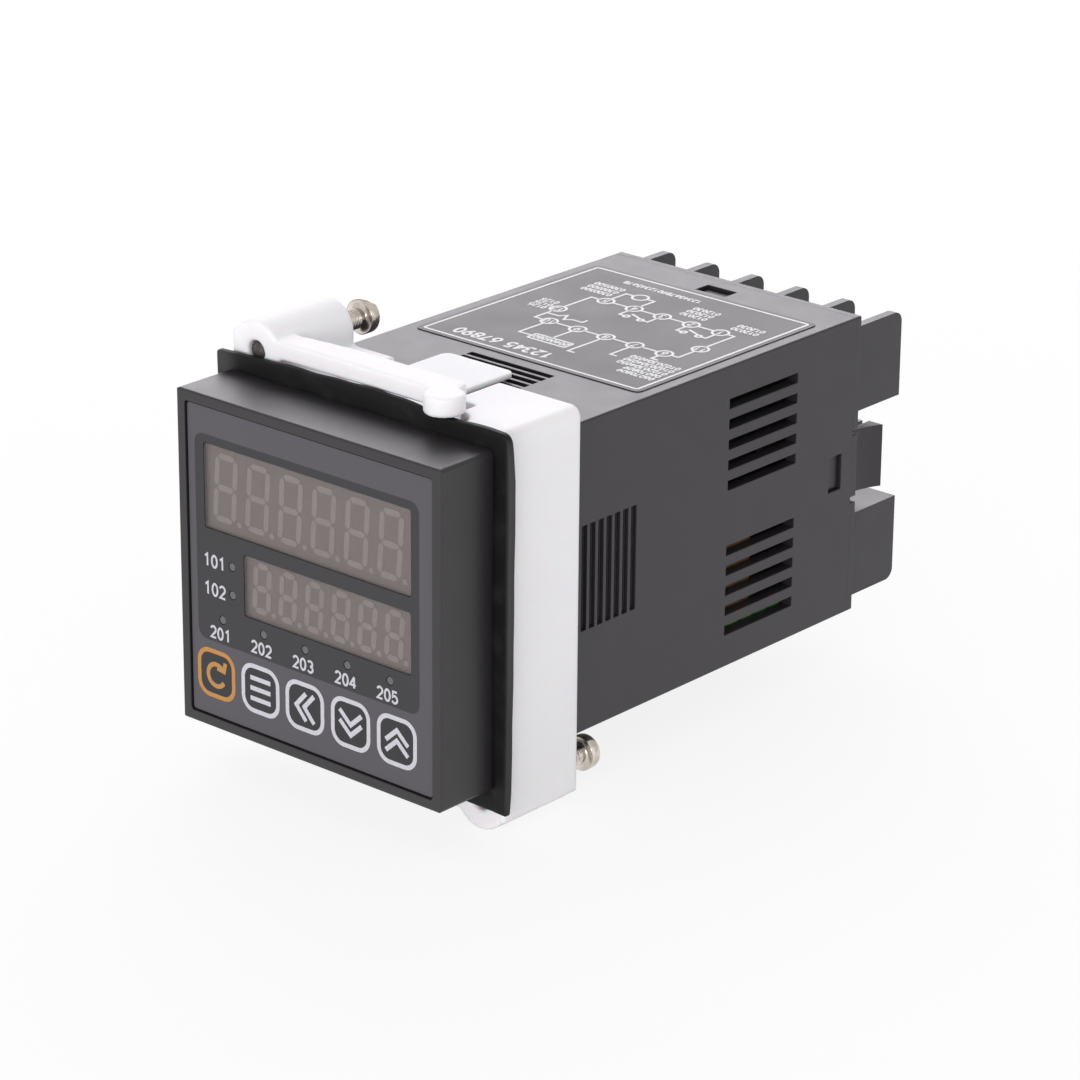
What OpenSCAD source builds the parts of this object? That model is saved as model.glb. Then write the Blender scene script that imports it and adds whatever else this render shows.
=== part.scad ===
// Panel counter for a square cut-out, with its gasket and clamping bracket.
// X is right seen from the front, Y runs to the rear, Z is up.
// The origin is the middle of the plane where the gasket meets the panel.

/* [Front bezel] */
// Width and height of the bezel
bezel_w = 48; // [44:0.5:54]
// Depth of the bezel in front of the gasket
bezel_d = 10; // [9.5:0.5:14]
// Radius of the bezel's four long edges
bezel_corner_r = 0.6; // [0.4:0.1:2]
// Radius of the edges round the front face
bezel_edge_r = 0.3; // [0.2:0.1:1.2]
// Width of the frame round the front sheet
bezel_ring = 1.5; // [1.2:0.1:2.2]
// Thickness of the wall behind the front sheet
bezel_wall = 1.4; // [1:0.1:2.5]
// Play between the bezel and the case inside it
bezel_fit = 0.1; // [0.05:0.05:0.2]
// How far the bezel stands out past the case on each side
bezel_lip = 1.55; // [1.2:0.05:3]

/* [Front sheet] */
// Thickness of the printed sheet
sheet_t = 0.35; // [0.2:0.05:0.6]
// How far the sheet lies below the bezel's front face
sheet_sink = 0.3; // [0.1:0.05:0.6]
// Gap between the sheet and the frame round it
sheet_gap = 0.25; // [0.1:0.05:0.5]
// Corner radius of the sheet
sheet_corner_r = 0.5; // [0.5:0.1:2]

/* [Display windows] */
// Distance from the sheet's left edge to the upper window
upper_left = 2.9; // [2:0.1:5]
// Distance from the sheet's right edge to the upper window
upper_right = 3.7; // [2:0.1:5]
// Distance from the sheet's top edge to the upper window
upper_top = 5.05; // [3:0.05:7]
// Distance from the sheet's left edge to the lower window
lower_left = 10.15; // [9:0.05:12]
// Distance from the sheet's right edge to the lower window
lower_right = 3.75; // [2:0.05:5]
// Distance from the sheet's bottom edge to the lower window
lower_bottom = 16.25; // [15.5:0.05:18]
// Height of the lower window
lower_window_h = 8.9; // [7:0.1:11]
// Gap between the two windows
window_gap = 2.1; // [1.6:0.1:3]
// Corner radius of the windows
window_r = 0.4; // [0.3:0.1:1.5]
// Gap round each pane of the filter
pane_gap = 0.1; // [0.05:0.05:0.2]
// How far each pane lies below the sheet's face
pane_sink = 0.05; // [0.05:0.05:0.2]
// Thickness of the filter's plate behind the sheet
filter_t = 0.25; // [0.15:0.05:0.5]
// How far the filter's plate reaches past its windows
filter_lap = 1.1; // [1.1:0.05:1.2]

/* [Digits] */
// Number of digits in each display
digit_count = 6; // [2:1:6]
// Distance from each end of the upper window to its row of digits
upper_digit_side = 0.8; // [0.6:0.05:1.5]
// Distance from the upper window's long edges to its digits
upper_digit_rim = 1.15; // [0.6:0.05:2]
// Gap between two upper digits
upper_digit_space = 1.75; // [1.4:0.05:2.2]
// Distance from each end of the lower window to its row of digits
lower_digit_side = 0.75; // [0.6:0.05:1.5]
// Distance from the lower window's long edges to its digits
lower_digit_rim = 0.75; // [0.5:0.05:1.5]
// Gap between two lower digits
lower_digit_space = 1.45; // [1.2:0.05:1.8]
// Width of a light bar
bar_w = 0.9; // [0.6:0.05:1]
// Sideways lean of a digit for each unit of its height
digit_lean = 0.07; // [0:0.01:0.15]
// How far a light bar stands out of its display
bar_t = 0.1; // [0.05:0.01:0.12]
// Gap between the ends of light bars that meet
bar_slit = 0.14; // [0.05:0.01:0.2]
// Radius of a decimal point
point_r = 0.4; // [0.3:0.05:0.5]
// Depth of the display modules
module_d = 7.2; // [6.5:0.1:8]
// How far a display module reaches past its window
module_lap = 0.35; // [0.1:0.05:0.6]
// Gap between the filter and the display modules
module_gap = 0.15; // [0.14:0.01:0.3]
// Play round the display modules in the bezel's wall
module_fit = 0.15; // [0.1:0.05:0.25]

/* [Lamps and keys] */
// Radius of a lamp's light pin
lamp_r = 0.55; // [0.4:0.05:0.6]
// Play round a lamp's light pin
lamp_fit = 0.1; // [0.05:0.05:0.2]
// Width of a lamp's foot on its board
lamp_foot = 1.8; // [1.2:0.1:2]
// Height of a lamp's foot on its board
lamp_foot_h = 1; // [0.5:0.1:2]
// Gap between the filter and the lamps beside the lower window
lamp_side_gap = 0.2; // [0.1:0.05:0.6]
// Height difference between the two lamps beside the window
lamp_column_pitch = 4.1; // [3:0.1:5]
// Distance from the sheet's left edge to the first lamp of the lower row
lamp_left = 5.95; // [4:0.05:8]
// Distance from the sheet's right edge to the last lamp of the lower row
lamp_right = 7.55; // [4:0.05:9]
// Number of lamps in the lower row
lamp_row_count = 5; // [2:1:5]
// Distance from the sheet's left edge to the first key
key_left = 1.55; // [1.4:0.05:3]
// Distance from the sheet's right edge to the last key
key_right = 2.95; // [1.4:0.05:4]
// Distance from the sheet's bottom edge to the keys
key_bottom = 3.15; // [2:0.05:3.6]
// Gap between two keys
key_space = 2; // [1.6:0.1:3]
// How far a key's collar reaches past its face
key_collar = 0.55; // [0.4:0.05:0.6]
// Thickness of a key's collar
key_collar_t = 0.7; // [0.5:0.1:1]
// Play round a key in its hole, and of its collar behind the wall
key_fit = 0.15; // [0.1:0.05:0.25]
// Gap between a key and the sheet
key_gap = 0.06; // [0.05:0.01:0.1]
// Radius of a key's stem
key_stem_r = 1.5; // [1:0.1:2]
// How far a key's stem reaches into its push switch
key_stem_in = 1.5; // [1:0.1:2]
// How far a key travels
key_travel = 0.25; // [0.1:0.05:0.4]
// Width of a push switch
switch_w = 6; // [5:0.1:6.4]
// Height of a push switch above its board
switch_h = 3.2; // [2.5:0.1:3.8]

/* [Circuit boards] */
// Thickness of every board
board_t = 1.6; // [1:0.1:2]
// Gap between a board's edge and the wall beside it
board_gap = 0.35; // [0.2:0.05:0.6]
// Gap between the case's wall and the upper and lower boards
board_lift = 1.85; // [1.4:0.05:2.2]
// Gap between the display board and the other boards' front edges
board_stand = 1.5; // [0.5:0.1:3]
// Width of a pin strip
strip_w = 20; // [10:1:26]
// Length of a pin strip along the case
strip_d = 8; // [5:0.5:10]
// Height of a pin strip
strip_h = 2.5; // [2:0.1:4]
// Width of the controller chip
chip_w = 10; // [6:0.5:14]
// Thickness of the controller chip
chip_t = 1.4; // [0.8:0.1:2]
// Width of a relay
relay_w = 10; // [8:0.5:10.5]
// Length of a relay along the case
relay_d = 20; // [15:1:24]
// Distance from the case's axis up to the relays
relay_under = 1.8; // [1.6:0.1:5]
// Place of the relays' front ends
relay_y = 40; // [30:1:44]
// Gap between the case's wall and the first relay
relay_side = 3.65; // [2.5:0.05:4.5]
// Distance between the relays
relay_pitch = 11.5; // [11:0.5:12.5]
// Width of the transformer
transformer_w = 18; // [14:0.5:19]
// Length of the transformer along the case
transformer_d = 18; // [12:1:20]
// How far the transformer rises past the case's axis
transformer_rise = 0.8; // [0:0.1:1]
// Length of the transformer's winding along the case
winding_d = 6; // [4:0.5:9]
// How far the winding stands out of the core
winding_out = 0.8; // [0.3:0.1:1.5]
// Place of the transformer's front end
transformer_y = 42; // [38:1:48]
// Gap between the case's wall and the transformer
transformer_side = 1.65; // [0.6:0.05:2]
// Radius of the bigger capacitor
capacitor_r = 5; // [4:0.1:6]
// Height of the bigger capacitor
capacitor_h = 20; // [14:0.5:24]
// Radius of the smaller capacitor
small_capacitor_r = 4; // [3:0.1:5]
// Height of the smaller capacitor
small_capacitor_h = 12; // [8:0.5:14]
// Gap between the case's wall and the bigger capacitor
capacitor_side = 3.65; // [1:0.05:5]
// Place of the bigger capacitor along the case
capacitor_y = 25; // [15:1:32]
// Distance between the capacitors along the case
capacitor_pitch = 14; // [11:1:20]
// Width of the film capacitor
film_w = 7; // [5:0.5:8]
// Length of the film capacitor along the case
film_d = 6; // [4:0.5:8]
// Height of the film capacitor
film_h = 8; // [6:0.5:9]
// Gap between the case's wall and the film capacitor
film_side = 1.35; // [0.6:0.05:2]
// Place of the film capacitor's front end
film_y = 46; // [40:1:52]

/* [Case] */
// Place of the case's rear end behind the panel's face
case_rear = 77.6; // [74:0.2:90]
// Thickness of the case's walls
case_wall = 1.8; // [1.5:0.1:2]
// Radius of the case's long edges
case_corner_r = 0.3; // [0.3:0.1:1.5]
// Number of serrations on each side
tooth_count = 14; // [6:1:14]
// Distance between serrations
tooth_pitch = 1.7; // [1.4:0.1:1.8]
// Width of the groove between two ribs
tooth_slot = 1.15; // [0.8:0.05:1.25]
// Depth of the grooves
tooth_depth = 0.7; // [0.3:0.1:0.9]
// Length of the grooves across the case
tooth_len = 15.2; // [8:0.2:20]
// Place of the last groove's rear edge
tooth_rear = 29.7; // [27:0.1:31]
// Number of vent slots in one group
vent_count = 5; // [1:1:5]
// Distance between vent slots
vent_pitch = 3; // [2.6:0.1:3.1]
// Height of a vent slot
vent_h = 1.5; // [1:0.1:1.8]
// Height of the first slot's middle above the case's axis
vent_first = 4.85; // [4.4:0.05:5]
// Distance from the vent slots' rear ends to the latch windows
vent_back = 7.8; // [4:0.1:12]
// Length of the vent slots
vent_len = 15.2; // [8:0.2:16]
// Width of a latch window
latch_w = 5.4; // [4:0.1:7]
// Length of a latch window along the case
latch_len = 2.9; // [2:0.1:3.2]
// Distance from a latch window's rear edge to the case's rear end
latch_back = 2.4; // [2:0.1:3]
// How far a latch hook's face lies below the case's face
latch_sink = 0.6; // [0.3:0.1:1]

/* [Label] */
// Distance from the label plate to the case's long edges
label_side = 1.95; // [1.5:0.05:6]
// Distance from the label plate to the latch window behind it
label_back = 1; // [1:0.1:6]
// Thickness of the label plate
label_t = 0.12; // [0.08:0.01:0.4]
// Distance from the serrations to the label plate
label_front = 2.2; // [1:0.1:5]
// Corner radius of the label plate
label_r = 1; // [0.3:0.1:3]

/* [Gasket] */
// How far the gasket stands out past the bezel
gasket_lip = 2.3; // [1:0.1:2.6]
// Thickness of the gasket
gasket_t = 1.1; // [0.6:0.1:2]
// Gap between the gasket and the case
gasket_gap = 0.2; // [0.1:0.05:0.4]
// Corner radius of the gasket
gasket_r = 2.2; // [0.5:0.1:4]

/* [Terminals] */
// Thickness of the terminal block's flange
flange_t = 1.2; // [0.8:0.1:2]
// Depth of the terminal block inside the case
plug_d = 5.4; // [5.4:0.1:7]
// Play between the terminal block and the case
plug_fit = 0.15; // [0.1:0.05:0.3]
// Number of terminals in each row
row_count = 5; // [2:1:5]
// Distance from the case's sides to each row's end walls
row_side = 0.625; // [0.3:0.025:1.2]
// Thickness of the barrier walls
barrier_t = 1.4; // [1:0.1:1.5]
// Height of the barrier walls behind the flange
barrier_d = 10.5; // [8:0.5:14]
// Distance from a row's screws to its shelf's inner face
shelf_drop = 6.6; // [6:0.1:7]
// Thickness of each row's inner shelf
shelf_t = 1.3; // [0.8:0.1:1.5]
// Distance from the case's top to the barrier walls' open ends
barrier_drop = 1.85; // [0.4:0.05:1.9]
// Radius of the barrier walls' outer corners
barrier_r = 1.6; // [0.5:0.1:3]
// Distance from the boards down to the rows of screws
screw_drop = 2.8; // [2.6:0.1:3]
// Distance from the case's sides to the two middle terminals
middle_side = 10.05; // [9.6:0.05:11]
// Height of the walls beside the middle terminals
middle_d = 8; // [7.5:0.5:9]
// Half length of the walls beside the middle terminals
middle_half = 3.4; // [3:0.1:3.6]
// Gap between a terminal plate and the walls beside it
plate_side = 0.325; // [0.1:0.025:0.6]
// Length of a terminal plate
plate_len = 8; // [7:0.1:8.4]
// Thickness of a terminal plate
plate_t = 0.8; // [0.5:0.1:1]
// Width of a terminal plate's leg
leg_w = 2.4; // [1.5:0.1:3]
// Gap between a leg and the board it is soldered to
leg_gap = 0.1; // [0.05:0.05:0.2]
// Radius of a terminal screw
term_screw_r = 1.5; // [1.2:0.1:1.6]
// Length of a terminal screw under its washer
term_screw_len = 5.6; // [4:0.1:6]
// Radius of a terminal screw's head
term_head_r = 2.9; // [2.4:0.1:3]
// Height of a terminal screw's head
term_head_h = 2; // [1.5:0.1:2.5]
// Gap between a terminal screw's washer and the walls beside it
washer_side = 0.525; // [0.2:0.025:0.7]
// Thickness of a terminal screw's washer
washer_t = 0.7; // [0.5:0.1:1]
// Play round every fixed screw, leg and post
fixed_fit = 0.06; // [0.05:0.01:0.1]
// Half height of the release tabs
tab_half = 4.7; // [4:0.1:4.8]
// Length of the release tabs behind the flange
tab_len = 5.6; // [4:0.1:8]
// Thickness of the release tabs at their root
tab_t = 1; // [0.8:0.1:1.4]
// How far the release tabs' tips flare out past the case
tab_flare = 0.3; // [0:0.1:0.6]
// Width of the slots above and below each release tab
tab_slot = 1; // [0.6:0.1:1.4]

/* [Bracket] */
// Gap between the bracket and the case
bracket_gap = 0.4; // [0.4:0.05:0.6]
// Thickness of the bracket's side walls
bracket_wall = 2.05; // [1.6:0.05:3]
// Depth of the bracket along the case
bracket_d = 14.9; // [13:0.1:16]
// Gap between the gasket and the bracket's front
bracket_front = 0.4; // [0.2:0.1:0.8]
// Thickness of the thick ends of the top and bottom walls
return_t = 3.15; // [2.6:0.05:3.3]
// Length of the thick ends of the top and bottom walls
return_len = 14.4; // [13:0.1:15]
// Thickness of the thin part of the top and bottom walls
strip_t = 1.35; // [1:0.05:1.6]
// Thickness of the top and bottom walls beside the screw ears
block_t = 2.3; // [1.4:0.1:2.6]
// Depth of the thin strip that carries the tongue
strip_carry = 6; // [4:0.5:8]
// Radius of the screw ears
ear_r = 4.4; // [3.8:0.1:4.4]
// Distance from the bracket's outer face to a screw ear's middle
ear_side = 4.45; // [4.4:0.05:5]
// How far each side wall runs past its screw ear's middle
wall_past = 2.4; // [0:0.1:3]
// Height of a screw ear's middle above the spring bar's lower face
ear_rise = 0.2; // [0:0.1:0.8]
// Thickness of the spring bars
spring_t = 2.7; // [2:0.1:3]
// Depth of the spring bars along the case
spring_d = 4.9; // [3:0.1:6]
// How much narrower a spring bar is beside its ear
spring_taper = 1.4; // [0:0.1:2]
// Radius of a spring bar's rear corner beside its round end
spring_r = 1.5; // [0.3:0.1:1.8]
// Clearance between the gasket's edge and the spring bars
spring_clear = 0.3; // [0.2:0.1:0.6]
// Distance from the bracket's outer face to a spring bar's round end
pad_side = 10.5; // [10:0.1:13.5]
// Radius of a spring bar's round end
pad_r = 2.8; // [2.6:0.1:3.4]
// How far a spring bar's round end stands in front of the bracket
pad_out = 3.1; // [2.8:0.1:4]
// Width of the tongues
tongue_w = 12.8; // [8:0.1:13.5]
// How far a tongue's left edge lies past the serrations
tongue_over = 0.2; // [0:0.1:1]
// Thickness of the tongues
tongue_t = 0.9; // [0.6:0.05:1.2]
// Length of the tongues behind the bracket's front
tongue_len = 24.4; // [20:0.1:26]
// Corner radius of the tongues' free ends
tongue_r = 1.5; // [0.5:0.1:3]
// Width of the slot beside each tongue
tongue_slot = 0.8; // [0.5:0.1:1.5]

/* [Clamping screws] */
// Radius of a clamping screw
clamp_r = 1.5; // [1.2:0.1:1.6]
// Length of a clamping screw under its head
clamp_len = 19.7; // [18:0.1:24]
// Distance from the bracket's front to the screw's tip
clamp_tip = 0.6; // [0.4:0.1:2]
// Radius of a clamping screw's head
clamp_head_r = 2.5; // [2.2:0.1:3]
// Height of a clamping screw's head
clamp_head_h = 2; // [1.5:0.1:2.5]
// Width of the cross in every screw head
cross_w = 0.7; // [0.5:0.05:0.9]
// Depth of the cross in every screw head
cross_depth = 1; // [0.6:0.1:1.3]
// Length of the cross in every screw head
cross_len = 3.5; // [2.5:0.1:4]
// Radial play of a clamping screw in its ear
clamp_fit = 0.08; // [0.05:0.01:0.1]

/* [Hidden] */
$fn = 48;

// A cut runs this far past the face it opens
past = 1;

// The case and the gasket follow the bezel
case_w = bezel_w - 2 * bezel_lip;
gasket_w = bezel_w + 2 * gasket_lip;

// Places along Y, from the front to the rear
bezel_rear = -gasket_t;
bezel_front = bezel_rear - bezel_d;
sheet_front = bezel_front + sheet_sink;
sheet_rear = sheet_front + sheet_t;
wall_rear = sheet_rear + bezel_wall;
filter_rear = sheet_rear + filter_t;
module_front = filter_rear + module_gap;
board_front = module_front + module_d;
board_rear = board_front + board_t;
case_front = board_rear;
flange_rear = case_rear + flange_t;
plug_front = case_rear - plug_d;
barrier_rear = flange_rear + barrier_d;

// Half widths
case_half = case_w / 2;
case_in = case_half - case_wall;
bezel_in = case_half + bezel_fit;
plug_half = case_in - plug_fit;
bracket_in = case_half + bracket_gap;
bracket_out = bracket_in + bracket_wall;
return_z = bracket_in + return_t;
strip_z = bracket_in + strip_t;
block_z = bracket_in + block_t;
gasket_half = gasket_w / 2;

// Each key has a node of its own, so their number is set by NODES
key_count = 5;

// Front layout
recess_w = bezel_w - 2 * bezel_ring;
sheet_w = recess_w - 2 * sheet_gap;
sheet_half = sheet_w / 2;
upper_window_w = sheet_w - upper_left - upper_right;
upper_window_h = sheet_w - upper_top - window_gap - lower_window_h - lower_bottom;
upper_window_x = (upper_left - upper_right) / 2;
upper_window_z = sheet_half - upper_top - upper_window_h / 2;
lower_window_w = sheet_w - lower_left - lower_right;
lower_window_x = (lower_left - lower_right) / 2;
lower_window_z = lower_bottom + lower_window_h / 2 - sheet_half;
upper_pitch = (upper_window_w - 2 * upper_digit_side) / digit_count;
upper_digit_w = upper_pitch - upper_digit_space;
upper_digit_h = upper_window_h - 2 * upper_digit_rim;
lower_pitch = (lower_window_w - 2 * lower_digit_side) / digit_count;
lower_digit_w = lower_pitch - lower_digit_space;
lower_digit_h = lower_window_h - 2 * lower_digit_rim;
key_pitch = (sheet_w - key_left - key_right + key_space) / key_count;
key_w = key_pitch - key_space;
key_row_x = (key_left - key_right) / 2;
key_row_z = key_bottom + key_w / 2 - sheet_half;
lamp_column_x = lower_window_x - lower_window_w / 2 - filter_lap - lamp_side_gap - lamp_foot / 2;
lamp_row_z = lower_window_z - lower_window_h / 2 - filter_lap - lamp_fit - lamp_r;
lamp_row_x = lamp_left - sheet_half;
lamp_row_pitch = (sheet_w - lamp_left - lamp_right) / (lamp_row_count - 1);
lamp_places = concat(
    [for (i = [0 : 1]) [lamp_column_x, lower_window_z + (0.5 - i) * lamp_column_pitch]],
    [for (i = [0 : lamp_row_count - 1]) [lamp_row_x + i * lamp_row_pitch, lamp_row_z]]);

// Inner boards and what they carry
board_z = case_in - board_lift - board_t;
relay_h = board_z - relay_under;
relay_x = relay_side + relay_w / 2 - case_in;
transformer_h = board_z + transformer_rise;
transformer_x = case_in - transformer_side - transformer_w / 2;
capacitor_x = capacitor_side + capacitor_r - case_in;
film_x = case_in - film_side - film_w / 2;
side_board_front = board_rear + board_stand;
side_board_rear = plug_front - board_gap;

// Latch windows, with the vents and the label in front of them
latch_rear = case_rear - latch_back;
latch_front = latch_rear - latch_len;
vent_y = latch_front - vent_back - vent_len;
label_w = case_w - 2 * label_side;
label_y = tooth_rear + label_front;
label_len = latch_front - label_back - label_y;

// Terminal places and turns: each entry is x, z and the side the leg lies on
row_pitch = (case_w - 2 * row_side - barrier_t) / row_count;
plate_w = row_pitch - barrier_t - 2 * plate_side;
washer_w = row_pitch - barrier_t - 2 * washer_side;
barrier_z = case_half - barrier_drop;
screw_z = board_z - screw_drop;
shelf_z = screw_z - shelf_drop;
middle_x = case_half - middle_side;
row_places = [for (i = [0 : row_count - 1]) (i - (row_count - 1) / 2) * row_pitch];
upper_terminals = [for (x = row_places) [x, screw_z, 1]];
lower_terminals = [for (x = row_places) [x, -screw_z, -1]];
middle_terminals = [for (side = [-1, 1]) [side * middle_x, 0, 1]];
terminals = concat(upper_terminals, lower_terminals, middle_terminals);
leg_rise = board_z - leg_gap - plate_t - screw_z;
washer_rear = flange_rear + plate_t + washer_t;

// Bracket and its screws
bracket_rear = bracket_front + bracket_d;
spring_z = gasket_half + spring_clear;
ear_x = bracket_out - ear_side;
ear_z = spring_z + ear_rise;
pad_x = bracket_out - pad_side;
pad_y = bracket_front - pad_out + pad_r;
tongue_left = -tooth_len / 2 - tongue_over;
clamp_front = bracket_front + clamp_tip;
clamp_seat = clamp_front + clamp_len;

// Colours
bezel_grey = [0.20, 0.20, 0.22];
sheet_blue = [0.24, 0.25, 0.30];
smoke = [0.30, 0.27, 0.27];
nylon = [0.93, 0.93, 0.94];
rubber_black = [0.06, 0.06, 0.07];
board_green = [0.10, 0.35, 0.18];
chip_black = [0.10, 0.10, 0.11];
nickel = [0.78, 0.75, 0.70];
coil_orange = [0.85, 0.48, 0.12];

// Outline in the front view, swept along Y from y0 to y1
module along_y(y0, y1) {
    translate([0, y1, 0]) rotate([90, 0, 0]) linear_extrude(y1 - y0) children();
}

// Box between two corners
module box(low, high) {
    translate(low) cube(high - low);
}

// Rectangle with round corners about the origin
module round_rect(w, h, r) {
    square([w - 2 * r, h], center = true);
    square([w, h - 2 * r], center = true);
    for (sx = [-1, 1], sz = [-1, 1])
        translate([sx * (w / 2 - r), sz * (h / 2 - r)]) circle(r);
}

// Places its children on all four sides of the case, drawn for the top
module four_sides() {
    for (a = [0 : 90 : 270]) rotate([0, a, 0]) children();
}

// Places its children, drawn for the top, at the top and turned half round
module half_turns() {
    for (a = [0, 180]) rotate([0, a, 0]) children();
}

// Profile with two round front corners, from the bezel's front to its rear
module front_rounded() {
    r = bezel_edge_r;
    half = bezel_w / 2;
    translate([-half, bezel_front + r]) square([bezel_w, bezel_d - r]);
    translate([r - half, bezel_front]) square([bezel_w - 2 * r, r]);
    for (side = [-1, 1]) translate([side * (half - r), bezel_front + r]) circle(r);
}

module upper_window(grow) {
    translate([upper_window_x, upper_window_z])
        round_rect(upper_window_w + 2 * grow, upper_window_h + 2 * grow, window_r);
}

module lower_window(grow) {
    translate([lower_window_x, lower_window_z])
        round_rect(lower_window_w + 2 * grow, lower_window_h + 2 * grow, window_r);
}

module lamp_holes() {
    for (p = lamp_places) translate(p) circle(lamp_r + lamp_fit);
}

module at_key(index) {
    translate([key_row_x + (index - (key_count - 1) / 2) * key_pitch, key_row_z]) children();
}

module bezel() {
    color(bezel_grey) difference() {
        intersection() {
            along_y(bezel_front, bezel_rear) round_rect(bezel_w, bezel_w, bezel_corner_r);
            linear_extrude(bezel_w, center = true) front_rounded();
            rotate([0, 90, 0]) linear_extrude(bezel_w, center = true) front_rounded();
        }
        along_y(bezel_front - past, sheet_rear) round_rect(recess_w, recess_w, sheet_corner_r);
        along_y(sheet_rear - past, filter_rear) {
            upper_window(filter_lap + pane_gap);
            lower_window(filter_lap + pane_gap);
        }
        along_y(sheet_rear - past, wall_rear + past) {
            upper_window(module_lap + module_fit);
            lower_window(module_lap + module_fit);
            lamp_holes();
            for (i = [0 : key_count - 1]) at_key(i) square(key_w + 2 * key_fit, center = true);
        }
        along_y(wall_rear, bezel_rear + past) square(2 * bezel_in, center = true);
    }
}

module front_sheet() {
    color(sheet_blue) along_y(sheet_front, sheet_rear) difference() {
        round_rect(sheet_w, sheet_w, sheet_corner_r);
        upper_window(0);
        lower_window(0);
        lamp_holes();
    }
}

module window_filter() {
    color(smoke) {
        along_y(sheet_front + pane_sink, filter_rear) {
            upper_window(-pane_gap);
            lower_window(-pane_gap);
        }
        along_y(sheet_rear, filter_rear) {
            upper_window(filter_lap);
            lower_window(filter_lap);
        }
    }
}

module upper_digits() {
    color(chip_black) along_y(module_front, board_front) upper_window(module_lap);
}

module lower_digits() {
    color(chip_black) along_y(module_front, board_front) lower_window(module_lap);
}

// One straight light bar with pointed ends, along x or up, leaning with the digit
function lean(p) = [p[0] + digit_lean * p[1], p[1]];
function bar_points(len) = [[-len / 2, 0], [bar_w / 2 - len / 2, bar_w / 2], [len / 2 - bar_w / 2, bar_w / 2],
    [len / 2, 0], [len / 2 - bar_w / 2, -bar_w / 2], [bar_w / 2 - len / 2, -bar_w / 2]];
module flat_bar(len, z) {
    polygon([for (p = bar_points(len)) lean([p[0], p[1] + z])]);
}
module tall_bar(len, x, z) {
    polygon([for (p = bar_points(len)) lean([p[1] + x, p[0] + z])]);
}

// Seven light bars and a point, with the digit's middle at the origin
module digit(w, h) {
    across = w - bar_w;
    up = (h - bar_w) / 2;
    for (level = [-1, 0, 1]) flat_bar(across - 2 * bar_slit, level * up);
    for (side = [-1, 1], level = [-1, 1]) tall_bar(up - 2 * bar_slit, side * across / 2, level * up / 2);
    translate([w / 2 + point_r, point_r - h / 2]) circle(point_r);
}

module digit_row(pitch, w, h) {
    for (i = [0 : digit_count - 1])
        translate([(i - (digit_count - 1) / 2) * pitch - point_r, 0]) digit(w, h);
}

module upper_segments() {
    color(smoke) along_y(module_front - bar_t, module_front)
        translate([upper_window_x, upper_window_z]) digit_row(upper_pitch, upper_digit_w, upper_digit_h);
}

module lower_segments() {
    color(smoke) along_y(module_front - bar_t, module_front)
        translate([lower_window_x, lower_window_z]) digit_row(lower_pitch, lower_digit_w, lower_digit_h);
}

module indicator_leds() {
    color(smoke) for (p = lamp_places) {
        along_y(sheet_front + pane_sink, board_front) translate(p) circle(lamp_r);
        along_y(board_front - lamp_foot_h, board_front) translate(p) square(lamp_foot, center = true);
    }
}

// Key with its collar behind the bezel's wall and its stem in the push switch
module key(index) {
    collar_front = wall_rear + key_fit;
    collar_rear = collar_front + key_collar_t;
    stem_rear = board_front - switch_h + key_stem_in;
    color(chip_black) {
        along_y(sheet_rear + key_gap, collar_rear) at_key(index) square(key_w, center = true);
        along_y(collar_front, collar_rear) at_key(index) square(key_w + 2 * key_collar, center = true);
        along_y(collar_front, stem_rear) at_key(index) circle(key_stem_r);
    }
}

module reset_key() { key(0); }
module mode_key() { key(1); }
module left_key() { key(2); }
module down_key() { key(3); }
module up_key() { key(4); }

module key_switches() {
    pit_rear = board_front - switch_h + key_stem_in + 2 * key_travel;
    color(chip_black) for (i = [0 : key_count - 1]) difference() {
        along_y(board_front - switch_h, board_front) at_key(i) square(switch_w, center = true);
        along_y(board_front - switch_h - past, pit_rear) at_key(i) circle(key_stem_r + key_fit);
    }
}

module display_board() {
    color(board_green) along_y(board_front, board_rear) square(2 * (bezel_in - board_gap), center = true);
}

// Board across the case with its inner face at the stated height
module side_board(z0, z1) {
    half = case_in - board_gap;
    color(board_green) box([-half, side_board_front, z0], [half, side_board_rear, z1]);
}

module upper_board() { side_board(board_z, board_z + board_t); }
module lower_board() { side_board(-board_z - board_t, -board_z); }

module controller_chip() {
    color(chip_black) along_y(board_rear, board_rear + chip_t) square(chip_w, center = true);
}

module board_connectors() {
    color(chip_black) half_turns()
        box([-strip_w / 2, board_rear, board_z - strip_h], [strip_w / 2, board_rear + strip_d, board_z]);
}

module output_relays() {
    color(coil_orange) for (i = [0 : 1])
        translate([relay_x + i * relay_pitch, relay_y, board_z - relay_h])
            box([-relay_w / 2, 0, 0], [relay_w / 2, relay_d, relay_h]);
}

// Bobbin with its winding between the two halves of the core
module power_transformer() {
    core_half = transformer_w / 2 - winding_out;
    winding_y = (transformer_d - winding_d) / 2;
    color(coil_orange) translate([transformer_x, transformer_y, -board_z]) {
        box([-transformer_w / 2, winding_y, 0], [transformer_w / 2, winding_y + winding_d, transformer_h]);
        box([-core_half, 0, 0], [core_half, transformer_d, transformer_h - winding_out]);
    }
}

module capacitors() {
    color(chip_black) {
        translate([capacitor_x, capacitor_y, -board_z]) cylinder(capacitor_h, r = capacitor_r);
        translate([capacitor_x, capacitor_y + capacitor_pitch, -board_z])
            cylinder(small_capacitor_h, r = small_capacitor_r);
    }
}

module film_capacitor() {
    color(coil_orange) translate([film_x, film_y, board_z - film_h])
        box([-film_w / 2, 0, 0], [film_w / 2, film_d, film_h]);
}

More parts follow.
